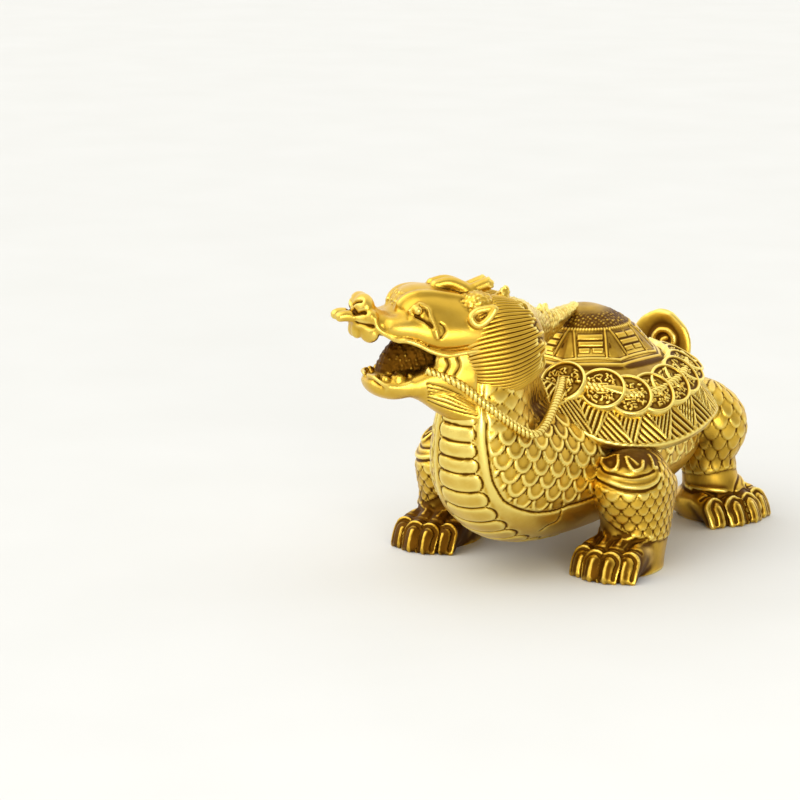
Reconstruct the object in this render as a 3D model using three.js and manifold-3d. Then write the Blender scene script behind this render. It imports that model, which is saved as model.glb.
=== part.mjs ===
// A cast brass dragon turtle: a turtle's shell and feet with a horned, maned dragon's head that bites a cord of
// coins. It stands on four clawed feet, with its head turned to its right. It faces -Y, its left side is +X,
// and the ground is Z = 0. The whole casting is one solid.
import * as THREE from 'three';
import { mergeVertices } from 'three/addons/utils/BufferGeometryUtils.js';
import Module from 'manifold-3d';

const wasm = await Module();
wasm.setup();

// Driving sizes, in millimetres.
const figureLength = 155;
const coinDiameter = 13.8;
const coinRise = 1.7;
const coinRoot = 3.2;
const coinBevel = 0.5;
const cordDiameter = 2.6;
const strokeHeight = 0.7;

// The pose, the proportions and the carving are written in shares of the figure's length, so many to the whole.
const sharesInLength = 192;
const share = figureLength / sharesInLength;

// How finely the round forms are faceted.
const limbSides = 10;
const bodySides = 16;
const shellSides = 32;
const coinSides = 10;
const toeSides = 5;
const rollSides = 4;
const cordSides = 4;

const degrees = THREE.MathUtils.degToRad;
const { smoothstep } = THREE.MathUtils;
const bodyFrame = new THREE.Matrix4();
const sides = [1, -1];

// The head swings about the top of the neck, to the figure's own right.
const neckTop = [0, -75];
const headTurn = -39;
const headFrame = new THREE.Matrix4()
  .makeRotationZ(degrees(headTurn))
  .setPosition(neckTop[0] * share, neckTop[1] * share, 0);

/** Turns a closed geometry into a solid that can be joined and cut. */
function solidOf(geometry, frame = bodyFrame) {
  geometry.deleteAttribute('normal');
  geometry.deleteAttribute('uv');
  const welded = mergeVertices(geometry, 1e-4);
  welded.applyMatrix4(frame);
  return new wasm.Manifold(
    new wasm.Mesh({
      numProp: 3,
      vertProperties: new Float32Array(welded.attributes.position.array),
      triVerts: new Uint32Array(welded.index.array),
    }),
  );
}

/** Joins a list of solids into one, pair by pair. */
function joined(solids) {
  let pool = solids;
  while (pool.length > 1) {
    const next = [];
    for (let i = 0; i < pool.length; i += 2) {
      next.push(pool[i + 1] ? pool[i].add(pool[i + 1]) : pool[i]);
    }
    pool = next;
  }
  return pool[0];
}

/** Fills the small sealed pockets that are left where forms meet, as the wax of a casting does. */
function withoutPockets(solid) {
  return joined(solid.decompose().filter((surface) => surface.volume() > 0));
}

/**
 * The smooth form strung on a list of stations. Each station gives the middle of an oval section (at), its half
 * width across and its half height (tall), in shares. Across is the way every section's width lies, as nearly as
 * its line lets it. The answer gives a point of the surface at a share t of the line, and u across and v up.
 */
function formOf(stations, across = [1, 0, 0]) {
  const line = new THREE.CatmullRomCurve3(stations.map(({ at }) => new THREE.Vector3(...at)));
  const size = new THREE.CatmullRomCurve3(stations.map(({ wide, tall }) => new THREE.Vector3(wide, tall, 0)));
  const sideways = new THREE.Vector3(...across);
  return (t, u, v) => {
    const along = line.getTangent(t);
    const rise = new THREE.Vector3().crossVectors(along, sideways).normalize();
    const over = new THREE.Vector3().crossVectors(rise, along);
    const { x: wide, y: tall } = size.getPoint(t);
    return line.getPoint(t).addScaledVector(over, u * wide).addScaledVector(rise, v * tall);
  };
}

/**
 * A closed solid of the form strung on some stations. Ridges above 0 raise every other edge of its sections, and a
 * flat form turns them by half a facet, so that it lies on a face and not on an edge.
 */
function limb(stations, options = {}) {
  const { facets = limbSides, steps = 1, across = [1, 0, 0], ridges = 0, flat = false, frame = bodyFrame } = options;
  const surface = formOf(stations, across);
  const lengths = steps * (stations.length - 1);
  const geometry = new THREE.CylinderGeometry(1, 1, 1, facets, lengths, false, flat ? Math.PI / facets : 0);
  const spot = geometry.attributes.position;
  for (let i = 0; i < spot.count; i += 1) {
    const [u, v] = [spot.getX(i), spot.getZ(i)];
    const edge = Math.round((Math.atan2(v, u) / (2 * Math.PI)) * facets);
    const swell = 1 + (edge % 2 === 0 ? ridges : -ridges);
    const point = surface(0.5 - spot.getY(i), u * swell, v * swell).multiplyScalar(share);
    spot.setXYZ(i, point.x, point.y, point.z);
  }
  return solidOf(geometry, frame);
}

/** The same stations on one side of the figure: side is 1 for its left and -1 for its right. */
function onSide(side, stations) {
  return stations.map((station) => ({ ...station, at: [station.at[0] * side, station.at[1], station.at[2]] }));
}

/** A raised roll along a list of places. Taper is its radius at the far end, as a share of that at the near one. */
function roll(places, radius, { side = 1, taper = 1, facets = rollSides, ...options } = {}) {
  const stations = places.map((at, i) => {
    const size = radius * (1 + (taper - 1) * (i / (places.length - 1)));
    return { at, wide: size, tall: size };
  });
  return limb(onSide(side, stations), { facets, ...options });
}

/** A smooth egg of the given half sizes, in shares. */
function egg(at, [wide, deep, tall], { side = 1, turn = 0, frame = bodyFrame, facets = 8 } = {}) {
  const geometry = new THREE.SphereGeometry(1, facets, facets / 2 + 1);
  geometry.scale(wide * share, deep * share, tall * share);
  geometry.rotateZ(degrees(turn * side));
  geometry.translate(at[0] * side * share, at[1] * share, at[2] * share);
  return solidOf(geometry, frame);
}

/** A pointed cone from the middle of its foot to its tip, for fangs, claws and spikes. */
function spike(foot, tip, radius, { side = 1, frame = bodyFrame, facets = 5 } = {}) {
  const [from, to] = [foot, tip].map(([x, y, z]) => new THREE.Vector3(x * side, y, z).multiplyScalar(share));
  const along = new THREE.Vector3().subVectors(to, from);
  const geometry = new THREE.ConeGeometry(radius * share, along.length(), facets);
  geometry.translate(0, along.length() / 2, 0);
  const turn = new THREE.Quaternion().setFromUnitVectors(new THREE.Vector3(0, 1, 0), along.normalize());
  geometry.applyQuaternion(turn);
  geometry.translate(from.x, from.y, from.z);
  return solidOf(geometry, frame);
}

// The shell: its profile from the crown to the hem and back underneath, as [radius, height] in shares.
const shellMiddle = [0, 2];
const shellProfile = [
  [0, 89], [9.5, 87.8], [16, 84.6], [27.5, 71.8], [32, 68.4], [36.5, 66.4], [42.5, 59], [50, 46.6], [48.6, 43.6],
  [38, 44.5], [0, 45],
];
const crownRings = 2;
const hemRadius = 50;
const hemStart = 34;
const hemPleat = 0.7;

// What is carved on it: a ring round the taiji disc, eight trigrams of three bars, and an octagon round them all.
// They stand on every other rung of an even ladder of rings.
const firstRung = 16.5;
const rung = 1.1;
const rungs = 12;
const carvedRadii = Array.from({ length: rungs }, (_, i) => firstRung + i * rung);
const [taijiRadius, ...trigramRows] = [1, 3, 5, 7].map((i) => carvedRadii[i]);
const octagonRadius = carvedRadii[10];
const panel = 45;
const panelTurn = -11;
const barEnd = 20;
const barGap = 4;

/** The height of the smooth shell at a radius, and how far its hem is lifted at an angle round from the front. */
function shellHeight(radius, round) {
  const reach = Math.max(shellProfile.findIndex(([r]) => r >= radius), 1);
  const [[r0, z0], [r1, z1]] = [shellProfile[reach - 1], shellProfile[reach]];
  return z0 + ((z1 - z0) * (radius - r0)) / (r1 - r0) + hemLift(radius, round);
}

/** The hem is high at the neck and over the thighs. */
function hemLift(radius, round) {
  const front = 20 * Math.exp(-((round / 26) ** 2));
  const thigh = 6 * smoothstep(Math.abs(round), 52, 105);
  return (front + thigh) * smoothstep(radius, hemStart, hemRadius);
}

/** The point of the shell's smooth surface at a radius in shares and an angle in degrees round from the front. */
function shellPoint(radius, round) {
  const [x, y] = [radius * Math.sin(degrees(round)), -radius * Math.cos(degrees(round))];
  return new THREE.Vector3(x + shellMiddle[0], y + shellMiddle[1], shellHeight(radius, round)).multiplyScalar(share);
}

/** An angle round from the front, measured from the middle of the trigram panel that it falls in. */
function withinPanel(round) {
  return THREE.MathUtils.euclideanModulo(round - panelTurn + panel / 2, panel) - panel / 2;
}

/** Whether a carved stroke stands on one of the carved rings at an angle. */
function carvedAt(radius, round) {
  const row = trigramRows.indexOf(radius);
  if (row < 0) {
    return radius === taijiRadius || radius === octagonRadius;
  }
  const trigram = Math.floor(THREE.MathUtils.euclideanModulo(round - panelTurn + panel / 2, 360) / panel);
  const broken = Math.floor(trigram / 2 ** row) % 2 === 1;
  const aside = Math.abs(withinPanel(round));
  return aside < barEnd && !(broken && aside < barGap);
}

/** The whole shell: its rings turn octagonal round the trigrams, and its hem is pleated in a zigzag. */
function shellBody() {
  const crown = shellProfile.slice(0, crownRings);
  const carvedRings = carvedRadii.map((radius) => [radius, shellHeight(radius, 180)]);
  const rings = [...crown, ...carvedRings, ...shellProfile.slice(crownRings + 2)];
  const topRings = rings.findIndex(([radius]) => radius === hemRadius);
  const geometry = new THREE.LatheGeometry(rings.map(([r, z]) => new THREE.Vector2(r, z)).reverse(), shellSides);
  const spot = geometry.attributes.position;
  for (let i = 0; i < spot.count; i += 1) {
    const ring = rings.length - 1 - (i % rings.length);
    const column = Math.floor(i / rings.length) % shellSides;
    const round = (360 * column) / shellSides - 180 + panelTurn;
    const [radius, height] = rings[ring];
    const squared = smoothstep(radius, taijiRadius, octagonRadius) * (1 - smoothstep(radius, octagonRadius, hemStart));
    const squeeze = 1 + (Math.cos(degrees(panel / 2)) / Math.cos(degrees(withinPanel(round))) - 1) * squared;
    const pleat = ring === topRings ? hemPleat : ring === topRings - 1 ? -hemPleat : 0;
    const out = radius * squeeze + (column % 2 === 0 ? pleat : -pleat);
    const stroke = carvedAt(radius, round) ? strokeHeight / share : 0;
    const level = squared > 0 ? shellHeight(out, 180) - hemLift(out, 180) : height;
    spot.setXYZ(
      i,
      out * Math.sin(degrees(round)) + shellMiddle[0],
      -out * Math.cos(degrees(round)) + shellMiddle[1],
      level + hemLift(radius, round) + stroke,
    );
  }
  geometry.scale(share, share, share);
  return solidOf(geometry);
}

// The garland of coins: where each one sits round from the front, on one side.
const coinRing = 39;
const firstCoin = 17;
const secondCoin = 37.5;
const coinStep = 13.8;
const coinsBehind = 9;
const coinSlope = 46;
const coinLean = 9;
const coinAngles = [firstCoin, ...Array.from({ length: coinsBehind }, (_, i) => secondCoin + i * coinStep)];

/** Where a coin lies: its face slopes outward and leans a little ahead, so that it overlaps the one behind. */
function coinPlace(side, round) {
  const facing = degrees(round - coinLean);
  const slope = degrees(coinSlope);
  const face = new THREE.Vector3(
    Math.sin(facing) * side * Math.sin(slope),
    -Math.cos(facing) * Math.sin(slope),
    Math.cos(slope),
  );
  const across = new THREE.Vector3(Math.cos(facing), Math.sin(facing) * side, 0).multiplyScalar(side);
  const rise = new THREE.Vector3().crossVectors(face, across);
  const middle = shellPoint(coinRing, side * round).addScaledVector(face, coinRise);
  return new THREE.Matrix4().makeBasis(across, rise, face).setPosition(middle);
}

/** One cast coin: a raised disc with a bevelled edge, rooted in the shell. The cord hides the hole in its middle. */
function coin(side, round) {
  const radius = coinDiameter / 2;
  const geometry = new THREE.CylinderGeometry(radius - coinBevel, radius, coinRise + coinRoot, coinSides);
  geometry.rotateX(Math.PI / 2);
  geometry.translate(0, 0, -(coinRise + coinRoot) / 2);
  return solidOf(geometry, coinPlace(side, round));
}

/** A round cord along points given in millimetres. */
function cord(points, steps) {
  const section = new THREE.Shape();
  section.absarc(0, 0, cordDiameter / 2, 0, Math.PI * 2);
  const extrudePath = new THREE.CatmullRomCurve3(points);
  return solidOf(new THREE.ExtrudeGeometry(section, { steps, curveSegments: cordSides / 2, extrudePath }));
}

/** The cord on one side: bitten in the corner of the mouth, down the neck, up to the first coin and through them. */
function bittenCord(side) {
  const inHead = [[12, -25, 83], [15, -15.6, 77.4], [16.2, -7.4, 71.4]].map(([x, y, z]) =>
    new THREE.Vector3(x * side, y, z).multiplyScalar(share).applyMatrix4(headFrame));
  const onNeck = side > 0
    ? [[17, -83, 63.4], [20.2, -74, 55.4], [20.6, -66.6, 56.4], [17.4, -56.4, 61]]
    : [[-18.6, -72, 61], [-21.6, -65, 55], [-20.8, -58, 56.4], [-17.4, -52, 61]];
  const through = coinAngles.map((round) => new THREE.Vector3().applyMatrix4(coinPlace(side, round)));
  const hanging = [...inHead, ...onNeck.map((at) => new THREE.Vector3(...at).multiplyScalar(share)), through[0]];
  return [cord(hanging, 11), cord(through, through.length - 1)];
}

// The trunk, chest and neck are one form, from the rump to the back of the head.
const trunk = [
  { at: [0, 66, 42], wide: 7, tall: 8 },
  { at: [0, 57, 39], wide: 21, tall: 15 },
  { at: [0, 38, 36], wide: 33, tall: 20 },
  { at: [0, 12, 34], wide: 37, tall: 23 },
  { at: [0, -14, 33], wide: 36, tall: 24.5 },
  { at: [0, -38, 34], wide: 31, tall: 26 },
  { at: [0, -56, 37.5], wide: 26, tall: 26.5 },
  { at: [0, -69, 46], wide: 21.5, tall: 25 },
  { at: [0, -75.5, 58], wide: 17, tall: 21.5 },
  { at: [0, -76, 70], wide: 15, tall: 19 },
  { at: [1, -74, 84], wide: 14, tall: 16 },
];

// The belly plates: where they begin and end along the trunk, and how far they reach round it to each side.
const plateCount = 9;
const [firstPlate, lastPlate] = [0.42, 0.93];
const plateReach = 32;
const plateRise = 1.4;

function bellyPlates() {
  const surface = formOf(trunk);
  const step = (lastPlate - firstPlate) / plateCount;
  return Array.from({ length: plateCount }, (_, i) => {
    const t = firstPlate + (i + 0.5) * step;
    const spot = (angle, ahead = 0) => surface(t + ahead, Math.sin(degrees(angle)), -Math.cos(degrees(angle)));
    const half = spot(0, step / 2).distanceTo(spot(0, -step / 2)) * 0.6;
    const stations = [-1, -0.55, 0, 0.55, 1].map((part) => {
      const end = Math.abs(part) === 1 ? 0.6 : 1;
      return { at: spot(part * plateReach).toArray(), wide: half * end, tall: plateRise * end };
    });
    const along = spot(0, 0.01).sub(spot(0, -0.01)).toArray();
    return limb(stations, { facets: 4, across: along, flat: true });
  });
}

// Legs, written for the figure's left side: a shoulder or thigh, a shank and an ankle.
const foreLeg = [
  { at: [30, -22, 50], wide: 5, tall: 8 },
  { at: [33, -25, 42], wide: 11, tall: 15.5 },
  { at: [36, -28.5, 31], wide: 13.5, tall: 24.5 },
  { at: [37.5, -29, 17], wide: 11.5, tall: 17.5 },
  { at: [38, -32, 5], wide: 11.5, tall: 15.5 },
  { at: [38, -34, -2], wide: 12.5, tall: 17 },
];
const hindLeg = [
  { at: [20, 33, 43], wide: 14, tall: 15 },
  { at: [31, 41, 42], wide: 12.5, tall: 13 },
  { at: [36.5, 44.5, 37], wide: 11, tall: 11.5 },
  { at: [32.5, 45, 26], wide: 10, tall: 10 },
  { at: [33, 46, 15], wide: 11, tall: 10.5 },
  { at: [34.5, 48, 6], wide: 13.5, tall: 12 },
  { at: [34.5, 48, -3], wide: 14.5, tall: 13 },
];

// Feet: the middle of each, the way its toes point from straight ahead and its width, in shares.
const foreFoot = { middle: [37.5, -39.5], turn: 0, width: 25 };
const hindFoot = { middle: [34, 48], turn: 72, width: 32 };
const toesOnFoot = 4;

/** A foot: a low pad and its knuckled toes, each with a claw. */
function foot(side, { middle, turn, width }) {
  const ahead = [Math.sin(degrees(turn)), -Math.cos(degrees(turn))];
  const spot = (along, beside, height) => [
    middle[0] + ahead[0] * along - ahead[1] * beside,
    middle[1] + ahead[1] * along + ahead[0] * beside,
    height,
  ];
  const across = [-ahead[1], ahead[0] * side, 0];
  const pad = [
    { at: spot(-13, 0, 4.5), wide: width * 0.36, tall: 6 },
    { at: spot(-4, 0, 6), wide: width * 0.47, tall: 9.5 },
    { at: spot(6, 0, 5), wide: width * 0.49, tall: 7.5 },
    { at: spot(12, 0, 3), wide: width * 0.45, tall: 4.5 },
  ];
  const forms = [limb(onSide(side, pad), { across, facets: 8 })];
  for (let i = 0; i < toesOnFoot; i += 1) {
    const place = (2 * i + 1) / toesOnFoot - 1;
    const beside = place * width * 0.49;
    const back = 5.5 * place ** 2;
    const wide = (width / toesOnFoot) * 0.62;
    const toe = [
      { at: spot(1 - back, beside * 0.9, 9), wide: wide * 0.8, tall: 3 },
      { at: spot(8.5 - back, beside, 8), wide: wide * 1.08, tall: 4.6 },
      { at: spot(13.5 - back, beside * 1.02, 4.6), wide, tall: 4.4 },
      { at: spot(17 - back, beside * 1.03, 0), wide: wide * 0.8, tall: 3 },
    ];
    forms.push(limb(onSide(side, toe), { facets: toeSides, across }));
  }
  return forms;
}

// The head, in its own frame: x to its left, -y ahead and z up.
const skull = [
  { at: [0, 9, 90], wide: 15, tall: 13 },
  { at: [0, 0, 91.5], wide: 16.5, tall: 13.5 },
  { at: [0, -10, 94], wide: 16, tall: 11.8 },
  { at: [0, -20, 97], wide: 14.5, tall: 11 },
  { at: [0, -27, 99], wide: 13.5, tall: 10 },
  { at: [0, -32, 97.6], wide: 12.2, tall: 7.8 },
  { at: [0, -37, 97], wide: 10.8, tall: 5.6 },
  { at: [0, -41.5, 98], wide: 9.8, tall: 5.8 },
  { at: [0, -45.6, 99.2], wide: 8.6, tall: 6.4 },
  { at: [0, -48.6, 98.6], wide: 6, tall: 4 },
];
const lowerJaw = [
  { at: [0, -2, 74], wide: 13, tall: 9 },
  { at: [0, -13, 72], wide: 12.6, tall: 7.4 },
  { at: [0, -21, 72.2], wide: 11.8, tall: 4.8 },
  { at: [0, -29, 72.6], wide: 11, tall: 3.2 },
  { at: [0, -36, 72.8], wide: 10.2, tall: 3.3 },
  { at: [0, -41.5, 75.4], wide: 8.6, tall: 3.4 },
  { at: [0, -44.4, 78.4], wide: 6, tall: 2.2 },
];
const cheek = [
  { at: [0, 4, 82], wide: 15.5, tall: 16 },
  { at: [0, -6, 82], wide: 15.4, tall: 14 },
  { at: [0, -14, 80.5], wide: 14, tall: 9.5 },
  { at: [0, -19, 80], wide: 11, tall: 6 },
];
const tongue = [
  { at: [0, -12, 80], wide: 7, tall: 8 },
  { at: [0, -22, 80.5], wide: 6.4, tall: 8 },
  { at: [0, -31, 79], wide: 6, tall: 6.4 },
  { at: [0, -37, 77.4], wide: 5, tall: 3 },
];
const upperLip = [[8.6, -42, 100], [10.8, -40, 95.2], [12, -36, 92.4], [13, -31.4, 92], [14.2, -25.6, 88.8],
  [15.6, -18.3, 86.4], [16.6, -10.8, 87.8], [17, -2.4, 85.6]];
const lowerLip = [[4, -44.8, 79.8], [8.4, -43, 79.2], [10.8, -37, 75.2], [12, -31, 78.4], [13.4, -22.4, 83.4]];
const brow = [[5.6, -33.4, 101], [9, -31.6, 103.6], [11.8, -27.4, 105.4], [13.2, -18, 104]];
const whisker = [[5.6, -44, 96.4], [6.4, -48.4, 98], [6.4, -52.4, 98.8], [5.8, -54.6, 98.6]];
const earRim = [[14.4, -11.6, 101], [16.4, -11.2, 97], [17.4, -7.6, 95], [17.6, -4, 98], [17, -1.6, 102.4],
  [14.6, -8, 102.6]];
const hornAhead = [[4.4, -3, 101.6], [5, -7.6, 104.8], [5, -13, 107.6], [4.6, -18.4, 107.6]];
const hornBehind = [[5.2, -8, 103.6], [5.6, -4, 105.4], [6, 0.6, 107]];
const fangs = [
  [[7.4, -43, 94], [7.6, -43.4, 88.6]],
  [[9.6, -34.4, 94], [10, -34.6, 88.4]],
  [[6.4, -41, 75], [6.8, -42.6, 81.6]],
];

/** The head on one side: eye, brow, nose, lips, whisker, ear, horns and fangs. */
function headSide(side) {
  const placed = { side, frame: headFrame };
  const small = { ...placed, facets: 6 };
  return [
    egg([11.4, -27.6, 102.4], [3.8, 4, 3.6], { ...placed, turn: 20 }),
    egg([5, -45, 102.4], [3.9, 4.2, 4], small),
    egg([4.8, -45.6, 94], [4.6, 3.6, 3.2], small),
    egg([8, -5.4, 102.4], [5, 5.6, 3.2], small),
    roll(brow, 2.4, { ...placed, taper: 0.6 }),
    roll(upperLip, 1.5, { ...placed, taper: 0.9 }),
    roll(lowerLip, 1.3, placed),
    roll(whisker, 2, { ...placed, taper: 0.75 }),
    roll(earRim, 1.7, placed),
    roll(hornAhead, 2.3, { ...placed, taper: 0.7, facets: 5 }),
    roll(hornBehind, 1.9, { ...placed, taper: 1.2, facets: 5 }),
    ...fangs.map(([root, tip]) => spike(root, tip, 1.6, placed)),
  ];
}

// One side of the mane: ridged locks that run back from the cheek and the ear to the shell.
const mane = [
  { at: [6, -13, 84], wide: 8, tall: 11 },
  { at: [7, -7, 85.5], wide: 11, tall: 15.5 },
  { at: [8.2, 2, 86.5], wide: 11.5, tall: 17.5 },
  { at: [8.6, 9, 88], wide: 9.5, tall: 15 },
  { at: [8, 14.5, 90], wide: 6, tall: 9.5 },
];
const maneLocks = 17;
const maneRidge = 0.06;

// The nape fills in between the back of the head and the front of the shell.
const nape = [
  { at: [2, -70, 84], wide: 12, tall: 14 },
  { at: [1, -60, 73], wide: 15, tall: 19 },
  { at: [0, -48, 62], wide: 17, tall: 18 },
  { at: [0, -34, 55], wide: 18, tall: 14 },
];

// The crest runs from the crown of the head over the front of the shell, and carries a row of spikes.
const crest = [
  { at: [5, -64, 94], wide: 9, tall: 8 },
  { at: [2, -50, 88], wide: 8, tall: 9 },
  { at: [0, -36, 83.5], wide: 6.5, tall: 8.4 },
  { at: [0, -24, 83.5], wide: 4.8, tall: 6.4 },
  { at: [0, -12, 85.5], wide: 3.4, tall: 4 },
  { at: [0, -2, 88], wide: 1.6, tall: 1.6 },
];
const crestSpikes = [[[0, 3, 101], [0, 6.5, 106.4]], [[0, 9, 99], [0, 12.5, 104]], [[0, 15, 95], [0, 18.5, 100.4]]];

// The tail: a root that rises behind the shell and opens in an upright scrolled leaf.
const tailRoot = [
  { at: [0, 48, 44], wide: 16, tall: 13 },
  { at: [0, 58, 46], wide: 13, tall: 10.5 },
  { at: [0, 65, 55], wide: 9.5, tall: 6.5 },
];
const tailLeaf = [
  { at: [0, 64.5, 48], wide: 8, tall: 4 },
  { at: [0, 66, 55], wide: 12, tall: 4.4 },
  { at: [0, 67, 62.5], wide: 13, tall: 4 },
  { at: [0, 66.5, 69.5], wide: 10, tall: 3.4 },
  { at: [0, 65.5, 74.4], wide: 4, tall: 2 },
];
const scroll = [[0, 62.6, 56], [5.6, 62.8, 58], [6.6, 63.4, 64], [2, 63.6, 66], [1.4, 63.2, 62]];

/** Everything the caster poured as one, cut level under the feet. */
function castFigure() {
  const forms = [
    limb(trunk, { facets: bodySides, steps: 2 }),
    shellBody(),
    ...bellyPlates(),
    limb(nape, { facets: 8 }),
    limb(crest, { facets: 8 }),
    ...crestSpikes.map(([root, tip]) => spike(root, tip, 3, { frame: headFrame })),
    limb(tailRoot),
    limb(tailLeaf),
    ...[skull, lowerJaw, cheek, tongue].map((stations) => limb(stations, { frame: headFrame })),
  ];
  for (const side of sides) {
    forms.push(
      limb(onSide(side, foreLeg)),
      limb(onSide(side, hindLeg)),
      ...foot(side, foreFoot),
      ...foot(side, hindFoot),
      ...coinAngles.map((round) => coin(side, round)),
      ...bittenCord(side),
      ...headSide(side),
      limb(onSide(side, mane), { facets: 2 * maneLocks, ridges: maneRidge, frame: headFrame }),
      roll(scroll, 1.7, { side, taper: 0.8, across: [0, 1, 0] }),
    );
  }
  const ground = new THREE.BoxGeometry(2 * figureLength, 2 * figureLength, figureLength);
  ground.translate(0, 0, -figureLength / 2);
  return withoutPockets(joined(forms).subtract(solidOf(ground)));
}

const cast = castFigure().getMesh();
const surface = new THREE.BufferGeometry();
surface.setAttribute('position', new THREE.BufferAttribute(cast.vertProperties, 3));
surface.setIndex(new THREE.BufferAttribute(cast.triVerts, 1));
surface.computeVertexNormals();
surface.computeBoundingBox();

const brass = new THREE.MeshStandardMaterial({ color: 0xb58a2c, roughness: 0.38, metalness: 1 });
const dragonTurtle = new THREE.Mesh(surface, brass);
dragonTurtle.name = 'dragon_turtle';
const { min, max } = surface.boundingBox;
dragonTurtle.position.set(-(min.x + max.x) / 2, -(min.y + max.y) / 2, -min.z);

const part = new THREE.Group();
part.add(dragonTurtle);

export default part;
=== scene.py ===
"""Looks of a cast brass dragon turtle.

A turtle's shell and clawed feet carry a horned, maned dragon's head that bites a cord of coins. The forms
are modelled as a caster would: wax is pressed up from round forms, skinned, and carved. Places are written
in shares, so many to the figure's length: the body faces -Y, its left side is +X and the ground is Z = 0.
"""
import sys

import logging
import math
from collections.abc import Sequence
from dataclasses import dataclass
from enum import Enum

import bpy
import numpy as np
from mathutils import Euler, Matrix, Vector


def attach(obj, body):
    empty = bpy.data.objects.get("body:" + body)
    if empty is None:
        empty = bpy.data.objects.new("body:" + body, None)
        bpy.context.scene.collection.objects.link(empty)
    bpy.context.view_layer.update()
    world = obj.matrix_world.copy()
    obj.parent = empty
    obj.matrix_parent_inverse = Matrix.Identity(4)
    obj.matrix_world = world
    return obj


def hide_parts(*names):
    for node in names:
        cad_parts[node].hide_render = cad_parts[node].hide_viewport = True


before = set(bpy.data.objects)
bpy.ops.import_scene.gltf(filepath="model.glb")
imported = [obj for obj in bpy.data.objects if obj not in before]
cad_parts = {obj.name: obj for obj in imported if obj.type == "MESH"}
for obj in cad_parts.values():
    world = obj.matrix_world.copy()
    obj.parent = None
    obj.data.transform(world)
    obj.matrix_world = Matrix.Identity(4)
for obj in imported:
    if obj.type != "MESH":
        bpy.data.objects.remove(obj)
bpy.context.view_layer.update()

NODE = "dragon_turtle"
BODY = "root"

FIGURE_LENGTH_MM = 155.0
SHARES_IN_LENGTH = 192.0
SHARE = FIGURE_LENGTH_MM / SHARES_IN_LENGTH / 1000.0
BOX_MIDDLE_Y = -25.65

HEAD_TURN = -39.0
HEAD_SHIFT = (0.0, -75.0, 0.0)
SIDES = (1, -1)

Array = np.ndarray
Place = tuple[float, float, float]
Table = Sequence[tuple[float, float]]
Stations = Sequence[Sequence[float]]

log = logging.getLogger("dragon_turtle")


class Side(Enum):
    """The figure's own left and right."""

    LEFT = 1
    RIGHT = -1


def linear(code: str) -> tuple[float, float, float, float]:
    """Turns an sRGB hex colour into linear RGBA.

    Args:
        code: Six hex digits after a hash sign.
    Returns:
        Red, green, blue and a full alpha.
    """
    parts = [int(code[i:i + 2], 16) / 255 for i in (1, 3, 5)]
    red, green, blue = (p / 12.92 if p <= 0.04045 else ((p + 0.055) / 1.055) ** 2.4 for p in parts)
    return red, green, blue, 1.0


def unit(vectors: Array) -> Array:
    """Scales each vector to length 1."""
    return vectors / np.maximum(np.linalg.norm(vectors, axis=-1, keepdims=True), 1e-9)


def ease(values: Array, low: float, high: float) -> Array:
    """Rises smoothly from 0 at low to 1 at high, and falls where high is below low."""
    part = np.clip((values - low) / (high - low), 0, 1)
    return part * part * (3 - 2 * part)


def spline(knots: Array, places: Array) -> Array:
    """Reads a smooth curve that passes through rows of knots.

    Args:
        knots: One row of numbers for each knot.
        places: Where to read it, from 0 at the first knot to n - 1 at the last.
    Returns:
        One row for each place.
    """
    last = len(knots) - 1
    padded = np.vstack([2 * knots[0] - knots[1], knots, 2 * knots[-1] - knots[-2]])
    start = np.clip(np.floor(places).astype(int), 0, last - 1)
    part = (places - start)[:, None]
    p0, p1, p2, p3 = (padded[start + i] for i in range(4))
    bend = 2 * p0 - 5 * p1 + 4 * p2 - p3
    swing = 3 * p1 - p0 - 3 * p2 + p3
    return 0.5 * (2 * p1 + (p2 - p0) * part + bend * part**2 + swing * part**3)


def bump(away: Array, width: float) -> Array:
    """A smooth bump: 1 where away is 0, and almost 0 beyond two widths."""
    return np.exp(-((away / width) ** 2))


def look_up(values: Array | float, table: Table) -> Array:
    """Reads a table of places and values between its rows."""
    return np.interp(values, *np.array(table, float).T)


def refined(places: Sequence[Place] | Array, steps: int) -> Array:
    """Gives a smooth line through places, with so many steps between two of them."""
    knots = np.array(places, float)
    return spline(knots, np.linspace(0, len(knots) - 1, steps * (len(knots) - 1) + 1))


def turned(points: Array, angle: float) -> Array:
    """Turns points about the Z axis by an angle in degrees."""
    cos, sin = math.cos(math.radians(angle)), math.sin(math.radians(angle))
    return points @ np.array([[cos, sin, 0], [-sin, cos, 0], [0, 0, 1]])


def in_metres(points: Array) -> Array:
    """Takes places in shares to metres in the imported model's frame."""
    return (points - np.array([0, BOX_MIDDLE_Y, 0])) * SHARE


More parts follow.
